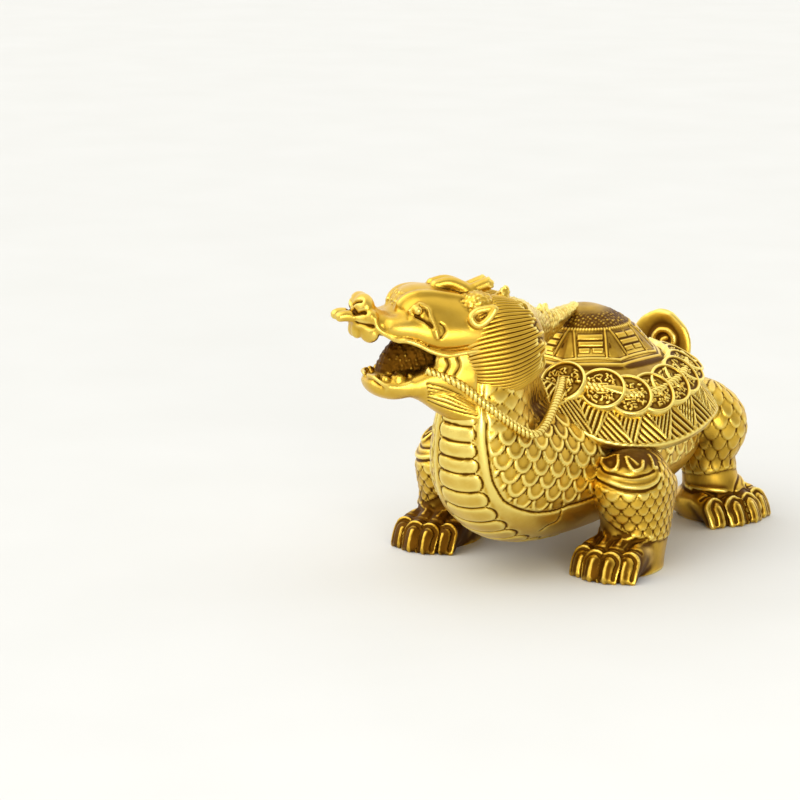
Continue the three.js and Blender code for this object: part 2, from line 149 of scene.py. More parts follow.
@dataclass
class Bead:
    """One short oval length of a form, with rounded ends.

    Its basis has the directions across, up and along as columns. Near and far are its half sizes at the
    ends, the cap is how far they bulge, and the span is how much of a station it covers.
    """

    start: Array
    basis: Array
    length: float
    near: Array
    far: Array
    cap: float
    span: float = 0.0

    def bounds(self, margin: float) -> tuple[Array, Array]:
        """Gives the lowest and highest corners of its box, with a margin."""
        ends = np.array([self.start, self.start + self.basis[:, 2] * self.length])
        wide, tall = np.maximum(self.near, self.far)
        sizes = np.array([wide, tall, self.cap])
        reach = np.sqrt(((self.basis * sizes) ** 2).sum(1)) + margin
        return ends.min(0) - reach, ends.max(0) + reach

    def distance(self, points: Array) -> Array:
        """Measures how far points are from its surface, below 0 inside."""
        near = (points - self.start) @ self.basis
        along = np.clip(near[..., 2] / self.length, 0, 1) if self.length > 0 else np.zeros(near.shape[:-1])
        wide, tall = (self.near[i] + (self.far[i] - self.near[i]) * along for i in (0, 1))
        across, up = near[..., 0] / wide, near[..., 1] / tall
        beyond = (near[..., 2] - along * self.length) / self.cap
        out = np.sqrt(across**2 + up**2 + beyond**2)
        slope = np.sqrt((across / wide) ** 2 + (up / tall) ** 2 + (beyond / self.cap) ** 2)
        return out * (out - 1) / np.maximum(slope, 1e-6)


@dataclass
class Form:
    """A round form made of beads."""

    beads: list[Bead]

    @classmethod
    def limb(cls, stations: Sequence[Sequence[float]], across: Place = (1, 0, 0), steps: int = 5,
             fullness: float = 0.3) -> "Form":
        """Strings a form on stations of x, y, z, half width and half height, read smoothly.

        Args:
            stations: The rows of five numbers.
            across: The direction across it.
            steps: How many beads lie between two stations.
            fullness: How far its ends bulge, as a share of its half size.
        Returns:
            The form.
        """
        rows = refined(stations, steps)
        centres, sizes = rows[:, :3], np.maximum(rows[:, 3:5], 0.15)
        along = unit(np.diff(centres, axis=0))
        rise = unit(np.cross(along, np.asarray(across, float)))
        bases = np.stack([np.cross(rise, along), rise, along], 2)
        lengths = np.linalg.norm(np.diff(centres, axis=0), axis=1)
        caps = fullness * np.minimum(sizes[:-1], sizes[1:]).min(1)
        rows = zip(centres, bases, lengths, sizes, sizes[1:], caps)
        return cls([Bead(*row, 1 / steps) for row in rows])

    @classmethod
    def roll(cls, places: Sequence[Sequence[float]], radius: float, taper: float = 1.0,
             steps: int = 4) -> "Form":
        """Makes a round roll along places, which tapers to a share of its radius."""
        count = len(places) - 1
        sizes = [radius * (1 + (taper - 1) * i / count) for i in range(count + 1)]
        stations = [(*place, size, size) for place, size in zip(places, sizes)]
        first, last = np.array(places[0], float), np.array(places[-1], float)
        upright = abs(last - first)[2] > abs(last - first)[:2].max()
        return cls.limb(stations, (1, 0, 0) if upright else (0, 0, 1), steps, fullness=1.0)

    @classmethod
    def egg(cls, at: Place, radii: Place, turn: float = 0.0, tilt: float = 0.0) -> "Form":
        """Makes one egg of half sizes along x, z and y, turned about z and tilted about x, in degrees."""
        wide, deep, tall = radii
        tip = Matrix.Rotation(math.radians(turn), 3, "Z") @ Matrix.Rotation(math.radians(tilt), 3, "X")
        basis = np.array(tip) @ np.array([[1, 0, 0], [0, 0, 1], [0, 1, 0]], float).T
        size = np.array([wide, tall], float)
        return cls([Bead(np.array(at, float), basis, 0.0, size, size, deep)])

    def on(self, side: int) -> "Form":
        """Gives the form on the figure's left (1) or mirrored to its right (-1)."""
        if side > 0:
            return self
        flip = np.array([-1.0, 1.0, 1.0])
        return Form([
            Bead(b.start * flip, b.basis * flip[:, None], b.length, b.near, b.far, b.cap, b.span)
            for b in self.beads
        ])

    def both(self) -> "tuple[Form, Form]":
        """Gives the form on both sides."""
        return self.on(1), self.on(-1)

    def locate(self, points: Array) -> tuple[Array, Array, Array, Array]:
        """Finds where points lie on the form, by the planes across its middle line.

        Args:
            points: Rows of places in shares.
        Returns:
            The places along its stations, across and up in half sizes, and one station's length there.
        """
        joints = np.array([bead.start for bead in self.beads])
        ways = np.array([bead.basis[:, 2] for bead in self.beads])
        ahead = unit(ways + np.vstack([ways[:1], ways[:-1]]))
        past = np.einsum("pij,ij->pi", points[:, None, :] - joints[None], ahead)
        gap = past[:, :-1] - past[:, 1:]
        crossed = (past[:, :-1] >= 0) & (past[:, 1:] < 0)
        part = np.clip(past[:, :-1] / np.where(gap > 1e-6, gap, 1), 0, 1)
        middle = joints[None, :-1] + part[..., None] * (joints[1:] - joints[:-1])[None]
        away = np.linalg.norm(points[:, None, :] - middle, axis=2) + np.where(crossed, 0, 1e3)
        best = np.argmin(away, axis=1)
        rows = np.arange(len(points))
        part, gap = part[rows, best], gap[rows, best]
        near = np.array([bead.near for bead in self.beads])
        basis = np.array([bead.basis for bead in self.beads])
        size = near[best] + (near[best + 1] - near[best]) * part[:, None]
        axes = basis[best] + (basis[best + 1] - basis[best]) * part[:, None, None]
        side = np.einsum("pi,pij->pj", points - middle[rows, best], axes)[:, :2] / size
        span = self.beads[0].span
        return (best + part) * span, side[:, 0], side[:, 1], gap / span


class Wax:
    """A block of wax: voxels that hold the distance to its surface, in shares."""

    FAR = 12.0

    def __init__(self, low: Place, high: Place, step: float) -> None:
        """Takes a block between two corners, with voxels of one step."""
        self.low = np.array(low, float)
        self.step = step
        self.size = np.ceil((np.array(high) - self.low) / step).astype(int) + 1
        self.depth = np.full(self.size, self.FAR, np.float32)

    def window(self, low: Array, high: Array) -> tuple[slice, ...]:
        """Gives the voxels between two corners."""
        first = np.clip(np.floor((low - self.low) / self.step).astype(int), 0, self.size)
        last = np.clip(np.ceil((high - self.low) / self.step).astype(int) + 1, 0, self.size)
        return tuple(slice(a, b) for a, b in zip(first, last))

    def places(self, part: tuple[slice, ...]) -> Array:
        """Gives the places of some voxels."""
        axes = [self.low[i] + self.step * np.arange(s.start, s.stop) for i, s in enumerate(part)]
        return np.stack(np.meshgrid(*axes, indexing="ij"), -1).astype(np.float32)

    def shape_of(self, form: Form, margin: float) -> tuple[tuple[slice, ...], Array]:
        """Measures a form over the voxels that it can reach.

        Args:
            form: The form.
            margin: How far round it to measure.
        Returns:
            The voxels, and the distances there.
        """
        boxes = [bead.bounds(margin) for bead in form.beads]
        whole = self.window(np.min([low for low, _ in boxes], 0), np.max([high for _, high in boxes], 0))
        depth = np.full([s.stop - s.start for s in whole], self.FAR, np.float32)
        for bead, (low, high) in zip(form.beads, boxes):
            part = self.window(low, high)
            if min(s.stop - s.start for s in part) <= 0:
                continue
            inner = tuple(slice(p.start - w.start, p.stop - w.start) for p, w in zip(part, whole))
            depth[inner] = np.minimum(depth[inner], bead.distance(self.places(part)))
        return whole, depth

    def press(self, form: Form, blend: float = 1.0) -> None:
        """Presses a form on, with a fillet of about the blend where it joins."""
        part, added = self.shape_of(form, 2 + 2 * blend)
        here = self.depth[part]
        mix = np.clip(0.5 + 0.5 * (added - here) / blend, 0, 1)
        self.depth[part] = added + (here - added) * mix - blend * mix * (1 - mix)

    def cut(self, form: Form, blend: float = 0.5) -> None:
        """Cuts a form out, with an edge rounded by about the blend."""
        part, added = self.shape_of(form, 2 + 2 * blend)
        here = self.depth[part]
        mix = np.clip(0.5 - 0.5 * (-added - here) / blend, 0, 1)
        self.depth[part] = -added + (here + added) * mix + blend * mix * (1 - mix)

    def press_both(self, form: Form, blend: float = 1.0) -> None:
        """Presses a form on, on both sides."""
        for one in form.both():
            self.press(one, blend)

    def soften(self, rounds: int) -> None:
        """Smooths the wax, so that its beads don't show."""
        for _ in range(rounds):
            for axis in range(3):
                padded = np.pad(self.depth, [(1, 1) if i == axis else (0, 0) for i in range(3)],
                                mode="edge")
                cuts = [[slice(None)] * 3 for _ in range(2)]
                cuts[0][axis], cuts[1][axis] = slice(0, -2), slice(2, None)
                self.depth = 0.5 * self.depth + 0.25 * (padded[tuple(cuts[0])] + padded[tuple(cuts[1])])

    def shorten(self, middle: Place, radius: float, height: float) -> None:
        """Takes off what lies over a height within a radius of an upright axis, where it is hidden."""
        x, y, z = (self.low[i] + self.step * np.arange(self.size[i]) for i in range(3))
        away = np.sqrt((x[:, None] - middle[0]) ** 2 + (y[None, :] - middle[1]) ** 2)
        taken = np.maximum(height - z[None, None, :], away[:, :, None] - radius)
        self.depth = np.maximum(self.depth, -taken.astype(np.float32))

    def lay(self, places: Sequence[Place], radius: float, taper: float = 1.0, height: float = 0.0,
            blend: float = 0.4) -> None:
        """Lays a thin roll on the surface, on both sides.

        Args:
            places: Where it runs, near the surface.
            radius: Its radius.
            taper: Its radius at the far end, as a share of that.
            height: How far its middle stands over the surface.
            blend: The size of the fillet beside it.
        """
        line = self.settle(refined(places, 3), height)
        self.press_both(Form.roll([tuple(p) for p in line], radius, taper, 2), blend)

    def level(self, ground: float = 0.0) -> None:
        """Cuts the wax level at a height."""
        heights = self.low[2] + self.step * np.arange(self.size[2])
        self.depth = np.maximum(self.depth, (ground - heights)[None, None, :].astype(np.float32))

    def read(self, points: Array) -> Array:
        """Reads the distance at places, between voxels."""
        spot = np.clip((points - self.low) / self.step, 0, self.size - 1.001)
        base = spot.astype(int)
        part = spot - base
        total = np.zeros(len(points))
        for corner in np.ndindex(2, 2, 2):
            weight = np.prod(np.where(corner, part, 1 - part), axis=1)
            at = base + np.array(corner)
            total += weight * self.depth[at[:, 0], at[:, 1], at[:, 2]]
        return total

    def outward(self, points: Array) -> Array:
        """Gives the direction straight out of the wax at places."""
        reach = np.eye(3) * self.step
        return unit(np.stack([self.read(points + r) - self.read(points - r) for r in reach], 1))

    def settle(self, points: Array, height: float, rounds: int = 3) -> Array:
        """Moves places onto the surface, or to a height over it."""
        for _ in range(rounds):
            points = points - self.outward(points) * (self.read(points) - height)[:, None]
        return points

    def skin(self) -> tuple[Array, Array]:
        """Wraps the wax in a skin of quads.

        Returns:
            The places of its points, and its faces.
        """
        depth, size = self.depth, self.size
        inside = depth < 0
        cells = size - 1
        corners = list(np.ndindex(2, 2, 2))
        count = np.zeros(cells, np.int8)
        for a, b, c in corners:
            count += inside[a:a + cells[0], b:b + cells[1], c:c + cells[2]]
        spots = np.argwhere((count > 0) & (count < 8))
        number = np.full(cells, -1, np.int64)
        number[tuple(spots.T)] = np.arange(len(spots))
        total, hits = np.zeros((len(spots), 3)), np.zeros((len(spots), 1))
        for first in corners:
            for axis in range(3):
                if first[axis]:
                    continue
                second = tuple(1 if i == axis else c for i, c in enumerate(first))
                a, b = (depth[tuple((spots + np.array(c)).T)] for c in (first, second))
                crossed = (a < 0) != (b < 0)
                share = np.where(crossed, a / np.where(crossed, a - b, 1), 0)
                place = np.array(first, float) + share[:, None] * np.eye(3)[axis]
                total += np.where(crossed[:, None], place, 0)
                hits += crossed[:, None]
        points = self.low + (spots + total / hits) * self.step
        faces = [self._walls(inside, number, axis) for axis in range(3)]
        return points, np.concatenate(faces)

    def _walls(self, inside: Array, number: Array, axis: int) -> Array:
        """Makes the quads that cross the voxel edges along one axis."""
        other, third = (axis + 1) % 3, (axis + 2) % 3
        moved = np.moveaxis(inside, (axis, other, third), (0, 1, 2))
        cells = np.moveaxis(number, (axis, other, third), (0, 1, 2))
        near, far = moved[:-1, 1:-1, 1:-1], moved[1:, 1:-1, 1:-1]
        spots = np.argwhere(near != far)
        i, j, k = spots.T
        ring = [cells[i, j, k], cells[i, j + 1, k], cells[i, j + 1, k + 1], cells[i, j, k + 1]]
        quads = np.stack(ring, 1)
        outwards = near[i, j, k]
        quads[~outwards] = quads[~outwards][:, ::-1]
        return quads


def smoothed(points: Array, faces: Array, rounds: int) -> Array:
    """Relaxes a skin a little, so that it shows no steps."""
    edges = np.concatenate([faces[:, [i, (i + 1) % 4]] for i in range(4)])
    first, second = edges.T
    degree = np.bincount(first, minlength=len(points))[:, None]
    for _ in range(rounds):
        total = np.stack([np.bincount(first, column, len(points)) for column in points[second].T], 1)
        points = 0.5 * points + 0.5 * total / np.maximum(degree, 1)
    return points


def hollowness(points: Array, faces: Array, rounds: int) -> Array:
    """Measures how deep each point lies below the skin round it, in shares, below 0 on ridges."""
    flat = smoothed(points, faces, rounds)
    return ((flat - points) * normals_of(points, faces)).sum(1)


def normals_of(points: Array, faces: Array) -> Array:
    """Gives the direction out of the skin at each point."""
    corner = points[faces]
    face = np.cross(corner[:, 2] - corner[:, 0], corner[:, 3] - corner[:, 1])
    total = np.stack([
        sum(np.bincount(faces[:, i], face[:, axis], len(points)) for i in range(4)) for axis in range(3)
    ], 1)
    return unit(total)


def rolled(shape: tuple[int, int]) -> Array:
    """Makes the quads between rings of points, for so many rings of so many points."""
    count, length = shape
    first = np.arange(count - 1)[:, None] * length
    here = np.arange(length)[None, :]
    beside = (here + 1) % length
    ring = [first + here, first + beside, first + length + beside, first + length + here]
    return np.stack(ring, -1).reshape(-1, 4)


def rings_round(line: Array, over: Array, rise: Array, wide: Array, tall: Array, angle: Array) -> Array:
    """Gives rings of points round a line, by its directions over and up and the half sizes along them."""
    return (line[:, None] + over[:, None] * (wide * np.cos(angle))[..., None]
            + rise[:, None] * (tall * np.sin(angle))[..., None])


@dataclass(frozen=True)
class Stroke:
    """One stroke of the carver's tool near the surface: a groove, or a ridge where its height is over 0."""

    places: Sequence[Place]
    height: float = -0.55
    width: float = 0.5

    def on(self, side: int) -> "Stroke":
        """Gives the stroke on the figure's left (1) or mirrored to its right (-1)."""
        return Stroke([(x * side, y, z) for x, y, z in self.places], self.height, self.width)

    def moved(self, angle: float, shift: Place) -> "Stroke":
        """Gives the stroke turned about the Z axis and moved."""
        places = turned(np.array(self.places, float), angle) + np.array(shift)
        return Stroke([tuple(p) for p in places], self.height, self.width)

    def settled(self, wax: Wax) -> "Stroke":
        """Gives the stroke laid right on the surface of the wax."""
        places = wax.settle(refined(self.places, 4), 0, 4)
        return Stroke([tuple(p) for p in places], self.height, self.width)


def distance_to(points: Array, places: Sequence[Place], reach: float) -> Array:
    """Measures how far points are from a smooth line through places, up to a reach."""
    line = refined(places, 5)
    found = np.full(len(points), reach * 2)
    near = np.flatnonzero(((points > line.min(0) - reach) & (points < line.max(0) + reach)).all(1))
    for start, end in zip(line[:-1], line[1:]):
        way = end - start
        away = points[near] - start
        part = np.clip(away @ way / max(way @ way, 1e-9), 0, 1)
        found[near] = np.minimum(found[near], np.linalg.norm(away - part[:, None] * way, axis=1))
    return found


def drawn(points: Array, strokes: Sequence[Stroke], both_sides: bool = True) -> Array:
    """Gives the height that strokes add to a surface.

    Args:
        points: The surface's points.
        strokes: The strokes.
        both_sides: Whether each stroke is also on the figure's right.
    Returns:
        The height of each point.
    """
    total = np.zeros(len(points))
    for stroke in strokes:
        for side in SIDES if both_sides else SIDES[:1]:
            away = distance_to(points, stroke.on(side).places, 3 * stroke.width)
            total += stroke.height * bump(away, stroke.width)
    return total


class ScaleStyle(Enum):
    """How scales are carved: raised rims round sunken fields, or domes that step down at their tips."""

    RIMMED = "rimmed"
    DOMED = "domed"


def scales(u: Array, v: Array, wide: float, tall: float, style: ScaleStyle, shoulder: float = 0.4,
           overlap: float = 0.1, power: float = 2.0) -> Array:
    """Gives the relief of overlapping scales, whose tips point along v.

    Args:
        u: The places across, in shares.
        v: The places along.
        wide: The width of a scale.
        tall: The distance between rows.
        style: How they are carved.
        shoulder: Where each scale starts to narrow, as a part of the row.
        overlap: How far it covers the next row, as a part of the row.
        power: How full its outline is: 2 is round and 1 a diamond.
    Returns:
        The height, about 1 at the highest.
    """
    row = np.floor(v / tall)
    found = []
    for back in (1, 0):
        here = v / tall - row + back
        across = (u / wide + 0.5 * ((row - back) % 2)) % 1 - 0.5
        down = np.maximum(here - shoulder, 0) / (1 + overlap - shoulder)
        found.append(((np.abs(across / 0.5) ** power + down**power) ** (1 / power), here))
    over = found[0][0] < 1
    rim, here = (np.where(over, a, b) for a, b in zip(*found))
    if style is ScaleStyle.DOMED:
        step = 0.75 * here / (1 + overlap) + 0.3 * np.sqrt(np.clip(1 - rim**2, 0, 1))
        return step - 0.35 * bump(rim - 1, 0.1)
    return bump(rim - 0.83, 0.14) * ease(here, 0.1, 0.55) - 0.45 * bump(rim - 1.05, 0.09)


def pellets(points: Array, pitch: float, seed: int) -> Array:
    """Gives the relief of small round pellets set closely at random: 1 on their tops and 0 between them."""
    cell = np.floor(points / pitch)
    best = np.full(len(points), 9.0)
    for shift in np.ndindex(3, 3, 3):
        there = cell + np.array(shift) - 1
        jitter = np.modf(np.abs(np.sin(there @ np.array([127.1, 311.7, 74.7]) + seed)) * 43758.5)[0]
        other = np.modf(np.abs(np.sin(there @ np.array([269.5, 183.3, 246.1]) + seed)) * 43758.5)[0]
        third = np.modf(jitter * 17.3 + other * 9.1)[0]
        middle = (there + 0.5 + 0.5 * (np.stack([jitter, other, third], 1) - 0.5)) * pitch
        best = np.minimum(best, np.linalg.norm(points - middle, axis=1) / pitch)
    return bump(best, 0.42)


@dataclass
class Skin:
    """The points and four-sided faces of a surface, in shares, and how dark its patina and painted shade
    are at each point.
    """

    points: Array
    faces: Array
    patina_and_painted_shade: Array | None = None

    @classmethod
    def of(cls, wax: Wax, rounds: int = 2) -> "Skin":
        """Wraps wax in a skin and relaxes it a little."""
        points, faces = wax.skin()
        return cls(smoothed(points, faces, rounds), faces).facing_out()

    @classmethod
    def lofted(cls, rows: Array, ends: Sequence[Array] = ()) -> "Skin":
        """Makes a skin over rings of points, shut at two ends if they are given."""
        if len(ends):
            first, last = (np.repeat(np.asarray(end)[None, None], rows.shape[1], 1) for end in ends)
            rows = np.concatenate([first, rows, last])
        return cls(rows.reshape(-1, 3), rolled(rows.shape[:2])).facing_out()

    def facing_out(self) -> "Skin":
        """Turns the faces outwards."""
        corner = self.points[self.faces]
        volume = (corner[:, 0] * np.cross(corner[:, 1], corner[:, 2])).sum()
        volume += (corner[:, 0] * np.cross(corner[:, 2], corner[:, 3])).sum()
        return self if volume > 0 else Skin(self.points, self.faces[:, ::-1], self.patina_and_painted_shade)

    def raised(self, height: Array) -> "Skin":
        """Moves each point out by its height."""
        out = normals_of(self.points, self.faces)
        return Skin(self.points + out * height[:, None], self.faces, self.patina_and_painted_shade)

    def mirrored(self) -> "Skin":
        """Gives the same skin on the figure's other side."""
        return Skin(self.points * np.array([-1, 1, 1]), self.faces[:, ::-1], self.patina_and_painted_shade)

    def moved(self, angle: float, shift: Place) -> "Skin":
        """Turns the skin about the Z axis and moves it."""
        return Skin(turned(self.points, angle) + np.array(shift), self.faces, self.patina_and_painted_shade)

    def patinated(self, depth: float = 0.5, broad_rounds: int = 14) -> "Skin":
        """Darkens the hollows, fully where they are as deep as the depth, fine ones and broad ones."""
        fine = hollowness(self.points, self.faces, 3)
        broad = hollowness(self.points, self.faces, broad_rounds)
        self.patina_and_painted_shade = np.clip((1.4 * fine + 0.8 * broad) / depth, -1, 1)
        return self

    @staticmethod
    def joined(skins: Sequence["Skin"]) -> "Skin":
        """Joins several skins into one piece."""
        starts = np.cumsum([0, *(len(s.points) for s in skins[:-1])])
        faces = np.concatenate([s.faces + start for s, start in zip(skins, starts)])
        patina_and_painted_shade = [s.patina_and_painted_shade if s.patina_and_painted_shade is not None else np.zeros(len(s.points)) for s in skins]
        return Skin(np.concatenate([s.points for s in skins]), faces, np.concatenate(patina_and_painted_shade))


def node(tree: bpy.types.NodeTree, kind: str, settings: dict | None = None,
         **links: object) -> bpy.types.Node:
    """Adds a shader node.

    Args:
        tree: The tree it goes in.
        kind: Its type's name, without the ShaderNode in front.
        settings: Its own settings.
        links: What goes into its inputs, by name with underscores or by number after an n.
    Returns:
        The node.
    """
    made = tree.nodes.new(f"ShaderNode{kind}")
    for key, value in (settings or {}).items():
        setattr(made, key, value)
    for key, value in links.items():
        socket = made.inputs[int(key[1:]) if key[1:].isdigit() else key.replace("_", " ")]
        if isinstance(value, bpy.types.NodeSocket):
            tree.links.new(value, socket)
        else:
            socket.default_value = value
    return made


def empty_tree(owner: bpy.types.Material | bpy.types.World) -> bpy.types.NodeTree:
    """Gives the owner's node tree, with nothing in it."""
    owner.use_nodes = True
    owner.node_tree.nodes.clear()
    return owner.node_tree


@dataclass(frozen=True)
class PatinatedBrass:
    """Cast brass, brushed and waxed, with brown patina left in the hollows.

    High places are rubbed to pale gold and mirror the room softly, hollows stay dark brown and dull, and
    the whole skin has the fine grain of a casting. Painted shade, which some pieces add to the patina,
    takes the same dark brown, and painted light takes the paler gold.
    """

    polished: str = "#f6df7a"
    worn: str = "#d3aa3c"
    patina_and_painted_shade: str = "#5c3a0a"
    polished_roughness: float = 0.33
    patina_and_painted_shade_roughness: float = 0.55
    grain_mm: float = 0.35
    cloud_mm: float = 9.0
    cloud_share: float = 0.5
    dark_between: tuple[float, float] = (0.2, 0.85)
    bright_between: tuple[float, float] = (0.28, -0.35)
    grain_strength: float = 0.12
    grain_depth: float = 0.0002

    def make(self) -> bpy.types.Material:
        """Builds the material."""
        material = bpy.data.materials.new("patinated brass")
        tree = empty_tree(material)
        place = node(tree, "TexCoord").outputs["Object"]
        # The patina, with the painted shade and light that some pieces add to it.
        hollows_and_painted_shade = node(tree, "Attribute", {"attribute_name": "patina_and_painted_shade"}).outputs["Fac"]
        grain = node(tree, "TexNoise", Vector=place, Scale=1000 / self.grain_mm, Detail=2.0)
        cloud = node(tree, "TexNoise", Vector=place, Scale=1000 / self.cloud_mm, Detail=4.0, Roughness=0.6)
        mixed = node(tree, "Math", {"operation": "MULTIPLY_ADD"}, n0=cloud.outputs["Fac"],
                     n1=self.cloud_share, n2=hollows_and_painted_shade)
        dark, bright = (
            node(tree, "MapRange", {"interpolation_type": "SMOOTHSTEP"}, Value=mixed.outputs[0],
                 From_Min=low, From_Max=high)
            for low, high in (self.dark_between, self.bright_between)
        )
        gold = node(tree, "Mix", {"data_type": "RGBA"}, n0=bright.outputs[0], n6=linear(self.worn),
                    n7=linear(self.polished))
        colour = node(tree, "Mix", {"data_type": "RGBA"}, n0=dark.outputs[0], n6=gold.outputs[2],
                      n7=linear(self.patina_and_painted_shade))
        rough = node(tree, "MapRange", Value=dark.outputs[0], To_Min=self.polished_roughness,
                     To_Max=self.patina_and_painted_shade_roughness)
        grained = node(tree, "Bump", Height=grain.outputs["Fac"], Strength=self.grain_strength,
                       Distance=self.grain_depth)
        shader = node(tree, "BsdfPrincipled", Base_Color=colour.outputs[2], Metallic=1.0,
                      Roughness=rough.outputs[0], Normal=grained.outputs[0])
        node(tree, "OutputMaterial", Surface=shader.outputs[0])
        return material


@dataclass(frozen=True)
class PaleTable:
    """Smooth pale card under the figure, with a faint even mottle that keeps it from looking empty."""

    colour: str = "#d3d3d1"
    shade: str = "#cdcdca"
    mottle_mm: float = 60.0

    def make(self) -> bpy.types.Material:
        """Builds the material."""
        material = bpy.data.materials.new("pale table")
        tree = empty_tree(material)
        place = node(tree, "TexCoord").outputs["Object"]
        cloud = node(tree, "TexNoise", Vector=place, Scale=1000 / self.mottle_mm, Detail=2.0)
        colour = node(tree, "Mix", {"data_type": "RGBA"}, n0=cloud.outputs["Fac"], n6=linear(self.colour),
                      n7=linear(self.shade))
        shader = node(tree, "BsdfPrincipled", Base_Color=colour.outputs[2], Roughness=0.8)
        node(tree, "OutputMaterial", Surface=shader.outputs[0])
        return material


def in_scene(name: str, data: bpy.types.ID) -> bpy.types.Object:
    """Makes an object of a mesh, lamp or camera, linked into the scene."""
    made = bpy.data.objects.new(name, data)
    bpy.context.scene.collection.objects.link(made)
    return made


def mesh_of(name: str, skin: Skin, material: bpy.types.Material) -> bpy.types.Object:
    """Makes a smooth mesh of a skin.

    Args:
        name: The piece's name.
        skin: Its points and faces, in shares.
        material: Its finish.
    Returns:
        The object, linked into the scene.
    """
    mesh = bpy.data.meshes.new(name)
    count = len(skin.faces)
    mesh.vertices.add(len(skin.points))
    mesh.vertices.foreach_set("co", in_metres(skin.points).astype(np.float32).ravel())
    mesh.loops.add(4 * count)
    mesh.loops.foreach_set("vertex_index", skin.faces.astype(np.int32).ravel())
    mesh.polygons.add(count)
    mesh.polygons.foreach_set("loop_start", np.arange(0, 4 * count, 4, dtype=np.int32))
    mesh.polygons.foreach_set("use_smooth", np.ones(count, bool))
    mesh.update(calc_edges=True)
    mesh.validate()
    # The attribute holds the patina with the painted shade and light that some pieces add to it.
    patina_and_painted_shade = mesh.attributes.new("patina_and_painted_shade", "FLOAT", "POINT")
    patina_and_painted_shade.data.foreach_set("value", skin.patina_and_painted_shade.astype(np.float32))
    mesh.materials.append(material)
    return in_scene(name, mesh)


def place_piece(name: str, skin: Skin, material: bpy.types.Material) -> None:
    """Makes a piece of the casting, hangs it on the figure's body and logs it."""
    made = mesh_of(name, skin, material)
    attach(made, BODY)
    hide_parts(NODE)
    log.info("%s: %d triangles", name, sum(len(p.vertices) - 2 for p in made.data.polygons))


def spike(foot: Place, lean: Place, radius: float, tip: float = 0.3) -> Form:
    """Makes a pointed spike from the middle of its foot along its lean."""
    top = tuple(a + b for a, b in zip(foot, lean))
    return Form.roll([foot, tuple((a + b) / 2 for a, b in zip(foot, top)), top], radius, tip)


def throat_strands() -> list[Stroke]:
    """Draws the left strands that sweep from under the jaw along the throat, in the head's frame."""
    upper = np.array([(13.6, -26, 77), (14.6, -20.6, 75.6), (15.6, -15, 72.6), (17.6, -9, 69.2)])
    lower = np.array([(12, -24.6, 71), (13.4, -18.6, 68.6), (15.4, -13.4, 66.4), (17.4, -9, 65)])
    parts = (0, 0.2, 0.4, 0.6, 0.8, 1)
    return [Stroke([tuple(p) for p in upper + (lower - upper) * part], -0.5, 0.42) for part in parts]


